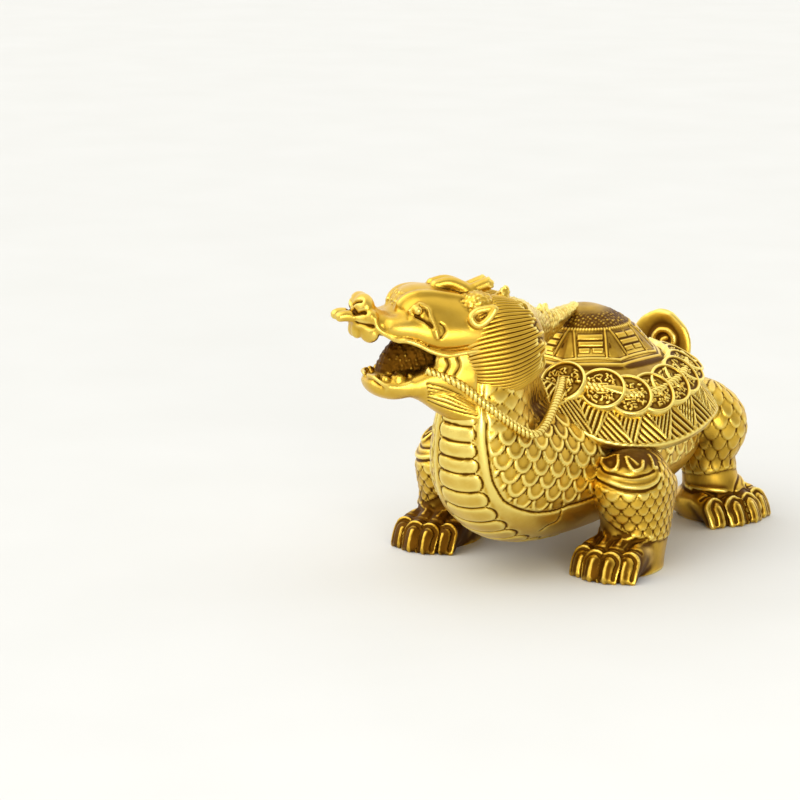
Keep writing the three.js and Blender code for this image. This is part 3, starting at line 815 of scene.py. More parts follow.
@dataclass
class Trunk:
    """Neck, chest and belly: one long form, with plates in front and scales on the sides."""

    stations: Stations = (
        (0, 66, 42, 7, 8), (0, 57, 39, 21, 15), (0, 38, 36, 33, 20), (0, 12, 34, 37, 23),
        (0, -14, 33, 36, 24.5), (0, -38, 34, 31, 26), (0, -56, 37.5, 26, 26.5), (0, -69, 46, 21.5, 25),
        (0.5, -75.2, 58, 16.6, 21.2), (1.4, -75, 70, 14, 18), (1.4, -74, 84, 14, 16),
    )
    nape: Stations = ((2, -70, 84, 12, 14), (1, -61, 74, 11, 14), (0, -50, 62, 9.6, 11),
                      (0, -34, 54, 10, 10))
    crest: Stations = (
        (5, -74, 95, 5, 5), (5, -66, 94.4, 8.4, 7.6), (2, -50, 88, 7, 8.4), (0, -36, 84.5, 5, 7),
        (0, -24, 85.6, 3.6, 4.6), (0, -14, 87, 2.6, 2.8), (0, -5, 88.6, 1.6, 1.6),
    )
    ridge_spikes: Sequence[Place] = ((0, -31, 86.4), (1, -36, 87))
    spike_lean: Place = (0, 1.6, 6)
    spike_radius: float = 3.6
    # Painted shade: a round patch in the recess on each side of the neck is darkened.
    recess: Place = (15, -58, 60)
    recess_size: float = 7.0
    recess_painted_shade: float = 0.8
    # Painted light: the trunk is made a little paler, standing in for light on the chest and belly.
    painted_brightening: float = 0.08
    low: Place = (-42, -102, 6)
    high: Place = (42, 70, 104)
    step: float = 0.72
    hidden: tuple[float, float] = (34, 51)
    plate_grooves: Sequence[float] = (
        4.9, 5.2, 5.5, 5.8, 6.1, 6.4, 6.7, 7.01, 7.28, 7.58, 7.83, 8.08, 8.31, 8.54,
    )
    plate_reach: tuple[float, float] = (18, 9)
    share_of_turn: float = 0.42
    plate_rise: float = 0.35
    plate_round: float = 0.8
    groove: tuple[float, float] = (0.55, 0.55)
    band_rise: float = 0.35
    band_start: float = 28
    edge_groove: tuple[float, float] = (0.65, 0.5)
    field_edge: Table = (
        (4.0, 80), (5.2, 74), (5.8, 67), (6.0, 61), (6.4, 51), (6.8, 43), (7.0, 39), (7.4, 37), (7.8, 39),
        (8.4, 40), (8.6, 36), (9.0, 30),
    )
    flank_line: Table = (
        (0, -93), (10, -91.5), (18, -80), (24, -66), (28, -55), (33, -38), (36, -14), (37, 12), (33, 38),
        (21, 57), (7, 66),
    )
    scale_lean: float = 0.26
    crown_heights: tuple[float, float] = (76, 80)
    pellet: tuple[float, float] = (1.5, 0.6)
    scale_size: tuple[float, float] = (9.0, 4.6)
    scale_rise: float = 0.52
    neck_scale_size: tuple[float, float] = (4.2, 2.8)
    neck_axis: tuple[float, float] = (0.5, -58)
    neck_radius: float = 15
    neck_height: float = 57
    seam: Sequence[Place] = (
        (24.1, -59.6, 28.1), (22.5, -58.2, 24.7), (20.6, -57.7, 21.2), (18.8, -60.6, 19.6),
        (15.8, -61.4, 17.8),
    )

    def model(self) -> Wax:
        """Presses up the wax."""
        wax = Wax(self.low, self.high, self.step)
        wax.press(Form.limb(self.stations, steps=8), 3)
        wax.press(Form.limb(self.nape), 4)
        wax.soften(5)
        wax.shorten((0, 2, 0), *self.hidden)
        wax.press(Form.limb(self.crest), 2)
        wax.soften(1)
        for foot in self.ridge_spikes:
            wax.press(spike(foot, self.spike_lean, self.spike_radius), 1)
        return wax

    def plates(self, place: Array, around: Array, station: Array) -> Array:
        """Gives the relief of the belly plates: rounded at both ends, with a groove between each two.

        Args:
            place: The place along the trunk.
            around: The angle round it from the middle of the belly, in degrees.
            station: How long one station is there, in shares.
        Returns:
            The height, in shares.
        """
        grooves = np.array(self.plate_grooves)
        row = np.clip(np.searchsorted(grooves, place), 1, len(grooves) - 1)
        low, high = grooves[row - 1], grooves[row]
        part = 2 * (place - low) / (high - low) - 1
        full, rounding = self.plate_reach
        end = (full + rounding * np.sqrt(np.clip(1 - part**2, 0, 1)) - np.abs(around)) * self.share_of_turn
        edge = np.minimum(np.minimum(place - low, high - place) * station, end)
        swell = self.plate_rise * (1 - np.exp(-np.clip(edge, 0, 9) / self.plate_round))
        depth, width = self.groove
        cut = depth * bump(edge, width)
        inside = (place > grooves[0] - 0.3) & (place < grooves[-1] + 0.3) & (end > -1.5)
        return np.where(inside, swell - cut, 0)

    def relief(self, wax: Wax, points: Array, faces: Array) -> Array:
        """Gives everything that is carved on it."""
        found = np.stack(Form.limb(self.stations, steps=6).locate(points), 1)
        place, across, up, length = smoothed(found, faces, 6).T
        around = np.degrees(np.arctan2(across, -up))
        edge = look_up(place, self.field_edge)
        aside = np.abs(around)
        beyond = (aside - edge) * self.share_of_turn
        height = self.plates(place, around, length)
        band = np.clip((aside - self.band_start) / np.maximum(edge - self.band_start, 1), 0, 1)
        height += self.band_rise * np.sin(np.pi * band) * ease(place, 4.8, 5.2)
        depth, width = self.edge_groove
        height -= depth * bump(beyond, width) * ease(place, 3.9, 4.1) * ease(place, 9.2, 8.8)
        flank, down = self.flank_run(points), -points[:, 2]
        body = scales(flank + self.scale_lean * down, down - self.scale_lean * flank, *self.scale_size,
                      ScaleStyle.RIMMED, shoulder=0.1, overlap=0.4)
        x, y = (points[:, :2] - np.array(self.neck_axis)).T
        turn = np.arctan2(x, -y) * self.neck_radius
        neck = 1.1 * scales(turn, down, *self.neck_scale_size, ScaleStyle.DOMED, shoulder=0.0, overlap=0.7,
                            power=1.35)
        crown = ease(points[:, 2], *self.crown_heights)
        upper = ease(points[:, 2], self.neck_height, self.neck_height + 3)
        field = ease(beyond, 0.6, 1.4) * ease(place, 0.1, 0.4) * (1 - crown)
        height += field * self.scale_rise * (body * (1 - upper) + neck * upper)
        height += drawn(points, [Stroke(self.seam, -0.45, 0.4).settled(wax)])
        strands = [
            stroke.on(side).moved(HEAD_TURN, HEAD_SHIFT) for stroke in throat_strands() for side in SIDES
        ]
        height += drawn(points, [strand.settled(wax) for strand in strands], False)
        ridge = crown * ease(np.abs(points[:, 0]), 11, 8)
        pitch, rise = self.pellet
        return height + rise * ridge * pellets(points, pitch, 3)

    def flank_run(self, points: Array) -> Array:
        """Gives how far points are along the flank, seen from above, from the middle of the chest."""
        line = np.array(self.flank_line, float)
        flat = np.stack([np.abs(points[:, 0]), points[:, 1]], 1)
        best, run = np.full(len(points), 1e9), np.zeros(len(points))
        start = 0.0
        for near, far in zip(line[:-1], line[1:]):
            way = far - near
            length = float(np.linalg.norm(way))
            part = np.clip((flat - near) @ way / length**2, 0, 1)
            away = np.linalg.norm(flat - near - part[:, None] * way, axis=1)
            nearer = away < best
            best[nearer], run[nearer] = away[nearer], (start + part * length)[nearer]
            start += length
        return run

    def build(self, brass: bpy.types.Material) -> None:
        """Models, carves and places it."""
        wax = self.model()
        skin = Skin.of(wax)
        skin = skin.raised(self.relief(wax, skin.points, skin.faces)).patinated()
        away = skin.points - np.array(self.recess)
        away[:, 0] = np.abs(skin.points[:, 0]) - self.recess[0]
        # Painted light: a paler chest and belly in place of more light on them.
        skin.patina_and_painted_shade -= self.painted_brightening
        # Painted shade in the recess beside the neck.
        skin.patina_and_painted_shade += self.recess_painted_shade * bump(np.linalg.norm(away, axis=1), self.recess_size)
        place_piece("trunk", skin, brass)


@dataclass
class Foot:
    """A low pad and its knuckled toes, each with a claw."""

    middle: tuple[float, float]
    turn: float
    width: float
    toes: int = 4

    @property
    def across(self) -> Place:
        """The direction across the foot."""
        angle = math.radians(self.turn)
        return math.cos(angle), math.sin(angle), 0

    def spot(self, along: float, beside: float, height: float) -> Place:
        """Gives the place at a distance ahead of the foot's middle, beside it and above the ground."""
        cos, sin, _ = self.across
        x, y = self.middle
        return x + sin * along + cos * beside, y - cos * along + sin * beside, height

    def ahead(self, points: Array) -> Array:
        """Gives how far points are ahead of the foot's middle."""
        cos, sin, _ = self.across
        return (points[:, 0] - self.middle[0]) * sin - (points[:, 1] - self.middle[1]) * cos

    def toe_places(self) -> list[tuple[float, float, float]]:
        """Gives each toe's place beside the middle, how far it stands back and its half width."""
        places = [(2 * number + 1) / self.toes - 1 for number in range(self.toes)]
        return [(p * self.width * 0.49, 5.5 * p**2, self.width / self.toes * 0.62) for p in places]

    def forms(self) -> list[Form]:
        """Makes the pad and the toes."""
        pad = ((-13, 4.5, 0.36, 6), (-4, 6, 0.47, 9.5), (6, 5, 0.49, 7.5), (12, 3, 0.45, 4.5))
        toe = ((1, 0.9, 8.4, 0.8, 2.6), (8.5, 1, 7.6, 0.98, 4.2), (13.5, 1.02, 4.8, 0.98, 4.4),
               (16.6, 1.03, 0, 0.86, 3.4))
        made = [[(*self.spot(a, 0, h), self.width * w, t) for a, h, w, t in pad]]
        for beside, back, wide in self.toe_places():
            made.append([(*self.spot(a - back, beside * b, h), wide * w, t) for a, b, h, w, t in toe])
        return [Form.limb(stations, self.across) for stations in made]

    def strokes(self) -> list[Stroke]:
        """Draws the arched knuckle over each claw, the claw in it, and the folds behind."""
        arch = ((17.2, -0.72, 0.4), (15.6, -0.78, 4.4), (13.4, -0.6, 7.2), (12.4, 0, 8.4), (13.4, 0.6, 7.2),
                (15.6, 0.78, 4.4), (17.2, 0.72, 0.4))
        lines = (
            Stroke(arch, 0.75, 0.75),
            Stroke([(a + 0.4, b * 0.42, h - 0.9) for a, b, h in arch], -0.8, 0.55),
            Stroke(((14.6, 0, 6), (16.8, 0, 3.2), (18.2, 0, 0.3)), 0.5, 0.7),
            Stroke(((8, 0, 11.8), (4, 0, 12.4), (0, 0.2, 13.6)), 0.6, 0.9),
            Stroke(((10.4, -0.8, 10.2), (10.9, 0, 11.4), (10.4, 0.8, 10.2)), -0.6, 0.55),
        )
        fold = Stroke(((9.5, -0.95, 9), (5, -0.8, 11.2), (0.5, -0.5, 13.2)), -0.7, 0.7)
        made = []
        for number, (beside, back, wide) in enumerate(self.toe_places()):
            for line in (*lines, fold) if number else lines:
                places = [self.spot(a - back, beside + b * wide, h) for a, b, h in line.places]
                made.append(Stroke(places, line.height, line.width))
        return made


@dataclass
class Leg:
    """A leg with its foot, written for the figure's left, and scales round it down to an edge."""

    name: str
    stations: Stations
    foot: Foot
    low: Place
    high: Place
    axis: tuple[float, float]
    radius: float
    scale_size: tuple[float, float]
    lower_edge: Table
    upper_edge: Table = ((-180, 99), (180, 99))
    strokes: Sequence[Stroke] = ()
    scale_rise: float = 0.7
    # How much the patina is darkened at each height; by default more towards the ground.
    darkening: Table = ((0, 0.65), (12, 0.5), (20, 0.15), (60, 0.05))
    foot_height: float = 26
    heel_share: float = 0.25
    # Painted shadow: the far, right-hand leg is darker towards the ground.
    far_side_painted_shadow: float = 0.25
    step: float = 0.58

    def model(self) -> Wax:
        """Presses up the wax."""
        wax = Wax(self.low, self.high, self.step)
        wax.press(Form.limb(self.stations, steps=8), 1)
        wax.soften(4)
        for form in self.foot.forms():
            wax.press(form, 0.8)
        wax.level()
        return wax

    def relief(self, wax: Wax, points: Array) -> Array:
        """Gives everything that is carved on it."""
        turn = np.degrees(np.arctan2(points[:, 0] - self.axis[0], self.axis[1] - points[:, 1]))
        height = points[:, 2]
        lower, upper = look_up(turn, self.lower_edge), look_up(turn, self.upper_edge)
        relief = scales(np.radians(turn) * self.radius, -height, *self.scale_size, ScaleStyle.DOMED,
                        shoulder=0.1, overlap=0.4, power=2.1)
        kept = ease(height, lower - 0.3, lower + 0.3) * ease(upper - height, 0.6, 1.4)
        strokes = [stroke.settled(wax) for stroke in (*self.foot.strokes(), *self.strokes)]
        return self.scale_rise * relief * kept + drawn(points, strokes, False)

    def build(self, brass: bpy.types.Material) -> None:
        """Models, carves and places it on both sides."""
        wax = self.model()
        left = Skin.of(wax)
        left = left.raised(self.relief(wax, left.points)).patinated()
        left.points[:, 2] = np.maximum(left.points[:, 2], 0)
        # Darkens by height, less at the heel up to the foot's height; on the fore leg this includes painted
        # shade under the hem.
        ahead = ease(self.foot.ahead(left.points), -3, 7) * (1 - self.heel_share) + self.heel_share
        ahead = np.where(left.points[:, 2] > self.foot_height, 1, ahead)
        left.patina_and_painted_shade = left.patina_and_painted_shade + ahead * look_up(left.points[:, 2], self.darkening)
        right = left.mirrored()
        # Painted shadow: the far leg's copy darkens towards the ground.
        right.patina_and_painted_shade = right.patina_and_painted_shade + self.far_side_painted_shadow * ease(right.points[:, 2], 22, 12)
        for side, skin in ((Side.LEFT, left), (Side.RIGHT, right)):
            place_piece(f"{side.name.lower()}_{self.name}", skin, brass)


def fore_leg() -> Leg:
    """Makes a fore leg: a polished crescent and curls over pointed scales."""
    stations = ((33, -20, 41, 4, 4), (35.5, -24, 37, 10, 9), (36.8, -27.6, 31, 14, 20),
                (38, -28.6, 17, 12, 16), (38, -32, 5, 11.8, 14.5), (38, -34, -2, 12.5, 16))
    ring = ((27.5, -42.3, 43.6), (27.8, -43.4, 41.4), (28.6, -43.3, 38.5), (31.4, -43.4, 35.4),
            (37.5, -46.8, 34.4), (42.2, -44.5, 33.1), (46.4, -40.1, 32.7), (48.9, -35.4, 33.9),
            (49.2, -32.8, 35.9))
    strokes = (
        Stroke(ring, 0.7, 0.8),
        Stroke([(x, y, z - 1.2) for x, y, z in ring], -0.5, 0.5),
        Stroke(((28.3, -39.7, 42.6), (29.1, -40.1, 39.3), (33.6, -43.6, 37.2), (38, -44.7, 36.8),
                (43.4, -42.8, 36.3), (46.3, -37.9, 36.6), (47.4, -34.7, 37.3)), -0.7, 0.6),
        Stroke(((29.7, -39.2, 40.7), (31.3, -41.2, 38.9), (35.1, -44.4, 37.9), (37.5, -43.9, 38.6),
                (37.6, -42, 40.3), (36.1, -40.1, 43.2)), 0.8, 0.7),
        Stroke(((29.8, -40, 41.2), (32.1, -40.5, 42.1), (34.7, -40.1, 43.8)), 0.7, 0.5),
        Stroke(((39.3, -40, 42.1), (41, -41.2, 39.6), (43.4, -41.7, 38.4), (44.8, -39.2, 38.8),
                (44.5, -37.1, 41)), 0.8, 0.7),
        Stroke(((39.8, -39.4, 42.5), (41.9, -39.5, 41.3), (43.5, -39.3, 40)), 0.6, 0.5),
        Stroke(((45, -32.3, 43.2), (46.1, -33.3, 40.5), (47.2, -34.3, 38.6), (48.1, -32.9, 38.5)),
               0.7, 0.6),
    )
    return Leg(
        "fore_leg", stations, Foot((37.5, -39.5), 0, 25), (16, -64, -2), (56, 2, 62),
        axis=(38, -29), radius=13, scale_size=(4.3, 2.9), strokes=strokes,
        # Painted shade: from a height of 42 up, under the overhang of the shell's hem, the leg is darkened;
        # lower down it darkens towards the ground.
        darkening=((0, 0.85), (12, 0.65), (20, 0.2), (38, 0.16), (42, 0.65)),
        lower_edge=((-180, 15), (-90, 28), (-50, 26), (0, 17.7), (25, 14.5), (55, 12), (120, 11),
                    (180, 15)),
        upper_edge=((-180, 46), (-70, 46), (-38, 38), (-24, 34), (0, 32.6), (40, 31.4), (60, 32.6),
                    (72, 36), (90, 44), (180, 46)),
    )


def hind_leg() -> Leg:
    """Makes a hind leg: large scales over the thigh and shank."""
    stations = ((20, 33, 43, 14, 15), (31, 41, 42, 12.5, 13), (36.5, 44.5, 37, 11, 11.5),
                (32.5, 45, 26, 10, 10), (33, 46, 15, 11, 10.5), (34.5, 48, 6, 13.5, 12),
                (34.5, 48, -3, 14.5, 13))
    return Leg(
        "hind_leg", stations, Foot((34, 48), 72, 32), (6, 14, -2), (60, 74, 62),
        axis=(33, 45), radius=11, scale_size=(5.2, 4.4),
        lower_edge=((-180, 17), (0, 19), (70, 21), (140, 19), (180, 17)),
    )


@dataclass
class Head:
    """The dragon's head in its own frame: x to its left, -y ahead and z up."""

    skull: Stations = (
        (0, 9, 89.5, 13, 12), (0, 0, 91, 15, 12.8), (0, -10, 94, 15.6, 12.2), (0, -20, 97, 14.5, 11.8),
        (0, -25.8, 99, 13.5, 10.6), (0, -30.2, 97.4, 12.2, 7.8), (0, -35.4, 96.2, 10.8, 4.5),
        (0, -40.6, 97.2, 9.8, 4.6), (0, -45, 98.8, 8.6, 6), (0, -48.2, 98.6, 6, 4),
    )
    lower_jaw: Stations = (
        (0, -2, 74, 13, 9), (0, -13, 72.4, 12.6, 7.2), (0, -21, 73, 11.8, 4.4), (0, -29, 73.4, 11, 2.8),
        (0, -35.4, 72.8, 10.2, 3), (0, -40.4, 74.6, 8.6, 3.2), (0, -43, 77, 6, 2),
    )
    cheek: Stations = ((0, 4, 82, 15.5, 16), (0, -6, 82, 15.4, 14), (0, -14, 80.5, 14, 9.5),
                       (0, -19, 80, 11, 6))
    tongue: Stations = (
        (0, -12, 82, 8, 11), (0, -22, 83, 7.6, 9.8), (0, -29, 82.4, 7, 9), (0, -34, 80.4, 6, 6.4),
        (0, -38, 78.4, 5, 3),
    )
    upper_lip: Sequence[Place] = (
        (8.8, -43.4, 99.9), (9.1, -42.7, 96.7), (10.9, -38.5, 93.6), (12.3, -36, 92.4),
        (13.6, -33.6, 92.4), (14.7, -29.9, 91.1), (15.6, -25, 88.5), (16.7, -19.7, 86.9),
        (17.1, -14.2, 87.4), (17.3, -8, 87.9), (17.4, -2.4, 86.4),
    )
    lower_lip: Sequence[Place] = (
        (2, -43.6, 78.6), (6.4, -42.6, 78.6), (8.8, -41, 77.2), (10.2, -38.6, 75.9), (11.2, -35.4, 75.8),
        (12.1, -31.6, 77.2),
    )
    brow: Sequence[Place] = (
        (5, -33.6, 103), (6, -32.4, 105.4), (7.2, -29.6, 107.8), (8, -25.6, 108.4), (8, -21, 107.6),
        (7.8, -15, 106.2), (7.8, -10.5, 104.8),
    )
    whisker: Sequence[Place] = ((2.4, -44, 98), (2.6, -48.4, 99.8), (2.6, -52, 100.4), (2.4, -53.8, 100.2))
    ear_rim: Sequence[Place] = (
        (18, -2.8, 102.2), (18, -4.6, 99.6), (17.8, -6.8, 97.6), (17.4, -9, 96.9), (16.8, -10.7, 98.4),
        (16.2, -10.6, 100.2), (16, -8.6, 101.6), (16.6, -6, 102.2), (17.4, -3.4, 102.6),
    )
    horn_ahead: Sequence[Place] = ((2.6, -3.6, 103), (2.4, -8.4, 107), (2.2, -13.6, 109.4), (2, -18.8, 109))
    horn_behind: Sequence[Place] = ((2.4, -8, 105), (2.4, -4, 106.8), (2.4, 0.2, 108.2))
    jowl: Stations = (
        (8.6, -38, 96.4, 3.2, 3.4), (9.4, -34, 96, 4, 4.2), (10, -29, 95.2, 4.6, 5),
        (10.8, -24, 93.8, 5, 6), (11.4, -18, 92.8, 5.4, 6.6), (11.8, -11, 92.8, 5.6, 6.6),
        (12, -3, 92.4, 5.6, 6.8),
    )
    jaw_side: Stations = (
        (8.2, -39, 75.8, 2.6, 2.2), (9.8, -33, 75.4, 3, 2.8), (10.8, -27, 76.6, 3.4, 4),
        (11.6, -22, 77.4, 3.8, 5), (12.2, -16, 77, 4, 6), (12.4, -9, 77, 4.4, 7),
    )
    throat: Stations = ((6, -26, 73.8, 6, 3.2), (8, -19, 70.6, 7.5, 5.6), (9.5, -11, 67, 8, 7),
                        (10, -3, 61, 8, 7.5))
    far_throat: Stations = ((3, -22, 75, 5, 2.4), (4, -13, 72, 6, 4.4), (5, -6, 67, 6.5, 7),
                            (5, 1, 60, 6, 9))
    web: Stations = (
        (13, -22.6, 83.8, 1.2, 2.6), (13.4, -18, 83.4, 1.8, 4.4), (13.6, -12, 83, 2.6, 5.4),
        (13.6, -4, 83, 3, 6),
    )
    upper_lid: Sequence[Place] = (
        (11.4, -31.8, 102.6), (11.6, -31.4, 104.8), (12, -29.8, 106.2), (12.6, -27.8, 106),
        (13.4, -26, 103.6), (13.8, -24.8, 100), (13.6, -23.8, 96.4), (13, -22.6, 93.4),
    )
    lower_lid: Sequence[Place] = (
        (11.4, -31.8, 102.6), (12.2, -30.8, 100.5), (12.9, -28.6, 98.8), (13.3, -26, 96.8),
        (13, -22.6, 93.4),
    )
    lower_teeth: Sequence[tuple[Place, float]] = (
        ((6.2, -41.6, 78.8), 1.1), ((8, -39.2, 78), 1.6), ((9.2, -35, 77.8), 2.7), ((9.8, -30.6, 79), 1.3),
    )
    eye_socket: tuple[Place, Place, float] = ((14.6, -28.4, 102.4), (2.4, 3.6, 3.5), 18)
    eyeball: tuple[Place, Place, float] = ((12.5, -29.2, 102.5), (1.7, 1.6, 1.7), 20)
    lumps: Sequence[tuple[Place, Place, float]] = (
        ((2, -45.2, 102.8), (5, 3.8, 5), 0), ((7.2, -44.2, 100.4), (2, 2.2, 2.4), 0),
        ((5.8, -44.4, 94.6), (4, 2.6, 3.6), 30), ((1.6, -47.4, 94.8), (2.6, 2.2, 2.8), 0),
        ((8.6, -6, 102.6), (5.6, 6, 4.4), 0), ((14.4, -22.2, 95.4), (1, 1.3, 1.3), 0),
    )
    spikes: Sequence[Place] = ((0, 6, 99.6),)
    spike_lean: Place = (0, 2.4, 6)
    spike_radius: float = 3.7
    # Painted shade inside the mouth.
    mouth_painted_shade: float = 0.75
    # Painted light: the head is made a little paler, standing in for light on the cheeks.
    painted_brightening: float = 0.1
    mouth_ridges: float = 2.6
    knob: Place = (8.6, -6, 102.6)
    knob_size: Place = (7, 7.4, 5.4)
    low: Place = (-22, -58, 52)
    high: Place = (22, 24, 112)
    step: float = 0.44

    def model(self) -> Wax:
        """Presses up the wax."""
        wax = Wax(self.low, self.high, self.step)
        for stations, blend in ((self.skull, 1), (self.cheek, 3), (self.lower_jaw, 1.5), (self.tongue, 1)):
            wax.press(Form.limb(stations, steps=8), blend)
        wax.soften(5)
        wax.press(Form.limb(self.throat), 3)
        wax.press(Form.limb(self.far_throat).on(-1), 3)
        for stations, blend in ((self.jowl, 2), (self.jaw_side, 1.5), (self.web, 1.2)):
            wax.press_both(Form.limb(stations, steps=6), blend)
        wax.soften(3)
        for form in Form.egg(*self.eye_socket).both():
            wax.cut(form, 0.8)
        wax.press_both(Form.egg(*self.eyeball), 0.3)
        wax.lay(self.upper_lid, 0.85, 0.8, 0.1)
        wax.lay(self.lower_lid, 0.5, 0.8, 0)
        wax.lay(self.brow, 1.3, 0.8, -0.2, 1.5)
        rolls = (
            (self.upper_lip, 1.0, 0.9), (self.lower_lip, 0.8, 1), (self.whisker, 2.2, 0.85),
            (self.ear_rim, 1.35, 1), (self.horn_ahead, 3.0, 0.6), (self.horn_behind, 2.3, 1.0),
        )
        for places, radius, taper in rolls:
            wax.press_both(Form.roll(places, radius, taper), 0.6)
        for lump in self.lumps:
            wax.press_both(Form.egg(*lump), 0.7)
        for at, size in self.lower_teeth:
            wax.press_both(Form.egg(at, (size * 0.8, size, size * 1.1)), 0.3)
        for foot in self.spikes:
            wax.press(spike(foot, self.spike_lean, self.spike_radius), 1)
        return wax

    def strokes(self) -> list[Stroke]:
        """Draws the cuts and ridges of the face."""
        return [
            Stroke(((0.9, -48, 103.4), (2.6, -47.6, 104.6), (4.6, -46.6, 105.2)), -1.2, 0.5),
            Stroke(((1.8, -49, 100.2), (4.6, -48.6, 101.2), (7.4, -47, 102.2)), -1.3, 0.6),
            Stroke(((4.6, -48.6, 98), (7, -46.6, 97.6), (9, -44.4, 97.2)), -1.1, 0.7),
            Stroke(((15.4, -25.4, 90.2), (16.2, -21, 88.9), (16.6, -16, 88.9), (16.7, -12, 89.6)), -0.3,
                   0.5),
            Stroke(((13.7, -21.6, 97.2), (14.3, -20.6, 96.4), (14.4, -20.4, 94.6), (13.8, -21.5, 93.2)),
                   -0.5, 0.45),
            Stroke(((12, -29.6, 100.4), (12.6, -28.2, 99.6), (13.2, -26.6, 98.4), (13.4, -24.8, 96)), -0.6,
                   0.8),
            Stroke(((15.2, -19.6, 85.6), (15.2, -18.9, 84.2), (15.1, -18.8, 82.6), (14.6, -19.9, 80.6)),
                   -0.6, 0.5),
            Stroke(((15.6, -15.6, 85.4), (15.8, -15, 83.8), (15.7, -15.1, 82), (15.2, -16.4, 79.8)), -0.6,
                   0.5),
            Stroke(((4.1, -34, 103.1), (8.4, -33, 102), (10.2, -32.4, 100.9), (11.5, -32.4, 99.3)), -0.25,
                   0.6),
            *throat_strands(),
        ]

    def relief(self, wax: Wax, points: Array) -> Array:
        """Gives everything that is carved on it."""
        relief = drawn(points, [stroke.settled(wax) for stroke in self.strokes()])
        x, y, z = np.abs(points[:, 0]), points[:, 1], points[:, 2]
        knob, size = np.array(self.knob), np.array(self.knob_size)
        away = np.linalg.norm((np.stack([x, y, z], 1) - knob) / size, axis=1)
        knobs = ease(away, 1, 0.85) * ease(z, 100.4, 101.4)
        front = ease(y, -30.4, -31.4) * ease(y, -35.4, -34.4) * ease(x, 5.4, 4.4) * ease(z, 102.4, 103.2)
        crest = ease(x, 9, 6) * ease(y, -1, 1) * ease(z, 94, 97)
        dotted = np.maximum(np.maximum(knobs, front), crest)
        ridges = np.sin(2 * np.pi * (y * 0.9 + z * 0.4) / self.mouth_ridges)
        rough = self.inside(points) * (0.14 * ridges + 0.4 * pellets(points, 1.6, 7))
        return relief + 0.6 * dotted * pellets(points, 1.5, 5) + rough

    def inside(self, points: Array) -> Array:
        """Tells where points lie inside the mouth."""
        x, y, z = np.abs(points[:, 0]), points[:, 1], points[:, 2]
        between = ease(x, 12.5, 10.5) * ease(z, 93, 91) * ease(z, 78, 80.5)
        return between * ease(y, -12, -16) * ease(y, -43, -41)

    def build(self, brass: bpy.types.Material) -> None:
        """Models, carves and places it."""
        wax = self.model()
        skin = Skin.of(wax)
        inside = self.inside(skin.points)
        skin = skin.raised(self.relief(wax, skin.points)).patinated()
        # Painted light makes the head a little paler.
        # Painted shade darkens the inside of the mouth.
        skin.patina_and_painted_shade = np.maximum(skin.patina_and_painted_shade - self.painted_brightening, skin.patina_and_painted_shade * 0.5 + self.mouth_painted_shade * inside)
        place_piece("head", skin.moved(HEAD_TURN, HEAD_SHIFT), brass)


@dataclass
class Mane:
    """The combed mane on each side of the head, in the head's frame: fine strands side by side."""

    stations: Stations = (
        (6, -13, 84, 8, 11), (7, -7, 85.5, 11.3, 16.2), (8, 2, 86.8, 12, 18.2), (8.2, 9, 88.2, 10.6, 16.4),
        (7.4, 15.5, 90, 8, 12.5), (6.6, 19, 91, 5, 8),
    )
    strands: int = 66
    points_in_strand: int = 8
    lengths: int = 60
    strand_rise: float = 0.75
    starts: tuple[float, float] = (0.35, 0.35)
    ends: tuple[float, float] = (3.5, 0.75)
    drop: float = 2.6
    darkening: float = 0.28

    def side(self) -> Skin:
        """Lofts the mane of the left side."""
        knots = np.array(self.stations, float)
        places = np.linspace(0, len(knots) - 1, self.lengths)
        rows = spline(knots, places)
        ahead = unit(np.gradient(rows[:, :3], axis=0))
        rise = unit(np.cross(ahead, np.array([1.0, 0, 0])))
        over = np.cross(rise, ahead)
        number = np.arange(self.strands * self.points_in_strand) / self.points_in_strand
        angles = number / self.strands * 2 * np.pi
        strand = np.floor(number)
        random = np.random.default_rng(11)
        uneven = random.random((2, self.strands))[:, strand.astype(int)]
        starts = self.starts[0] + self.starts[1] * uneven[0]
        ends = self.ends[0] + self.ends[1] * uneven[1]
        here = places[:, None]
        length = ease(here, starts - 0.1, starts + 0.05) * ease(here, ends + 0.1, ends - 0.05)
        arched = np.sqrt(np.clip(1 - (2 * (number % 1) - 1) ** 2, 0, 1))
        drop = self.drop * ease(here, ends - 0.05, ends + 0.2)
        swell = self.strand_rise * (arched * length - 0.85) - drop
        wide, tall = (rows[:, i, None] + swell for i in (3, 4))
        points = rings_round(rows[:, :3], over, rise, wide, tall, angles)
        return Skin.lofted(points, [points[i].mean(0) for i in (0, -1)])

    def build(self, brass: bpy.types.Material) -> None:
        """Lofts and places both sides."""
        left = self.side()
        for side, skin in ((Side.LEFT, left), (Side.RIGHT, left.mirrored())):
            skin = skin.moved(HEAD_TURN, HEAD_SHIFT).patinated()
            skin.patina_and_painted_shade += self.darkening
            place_piece(f"{side.name.lower()}_mane", skin, brass)


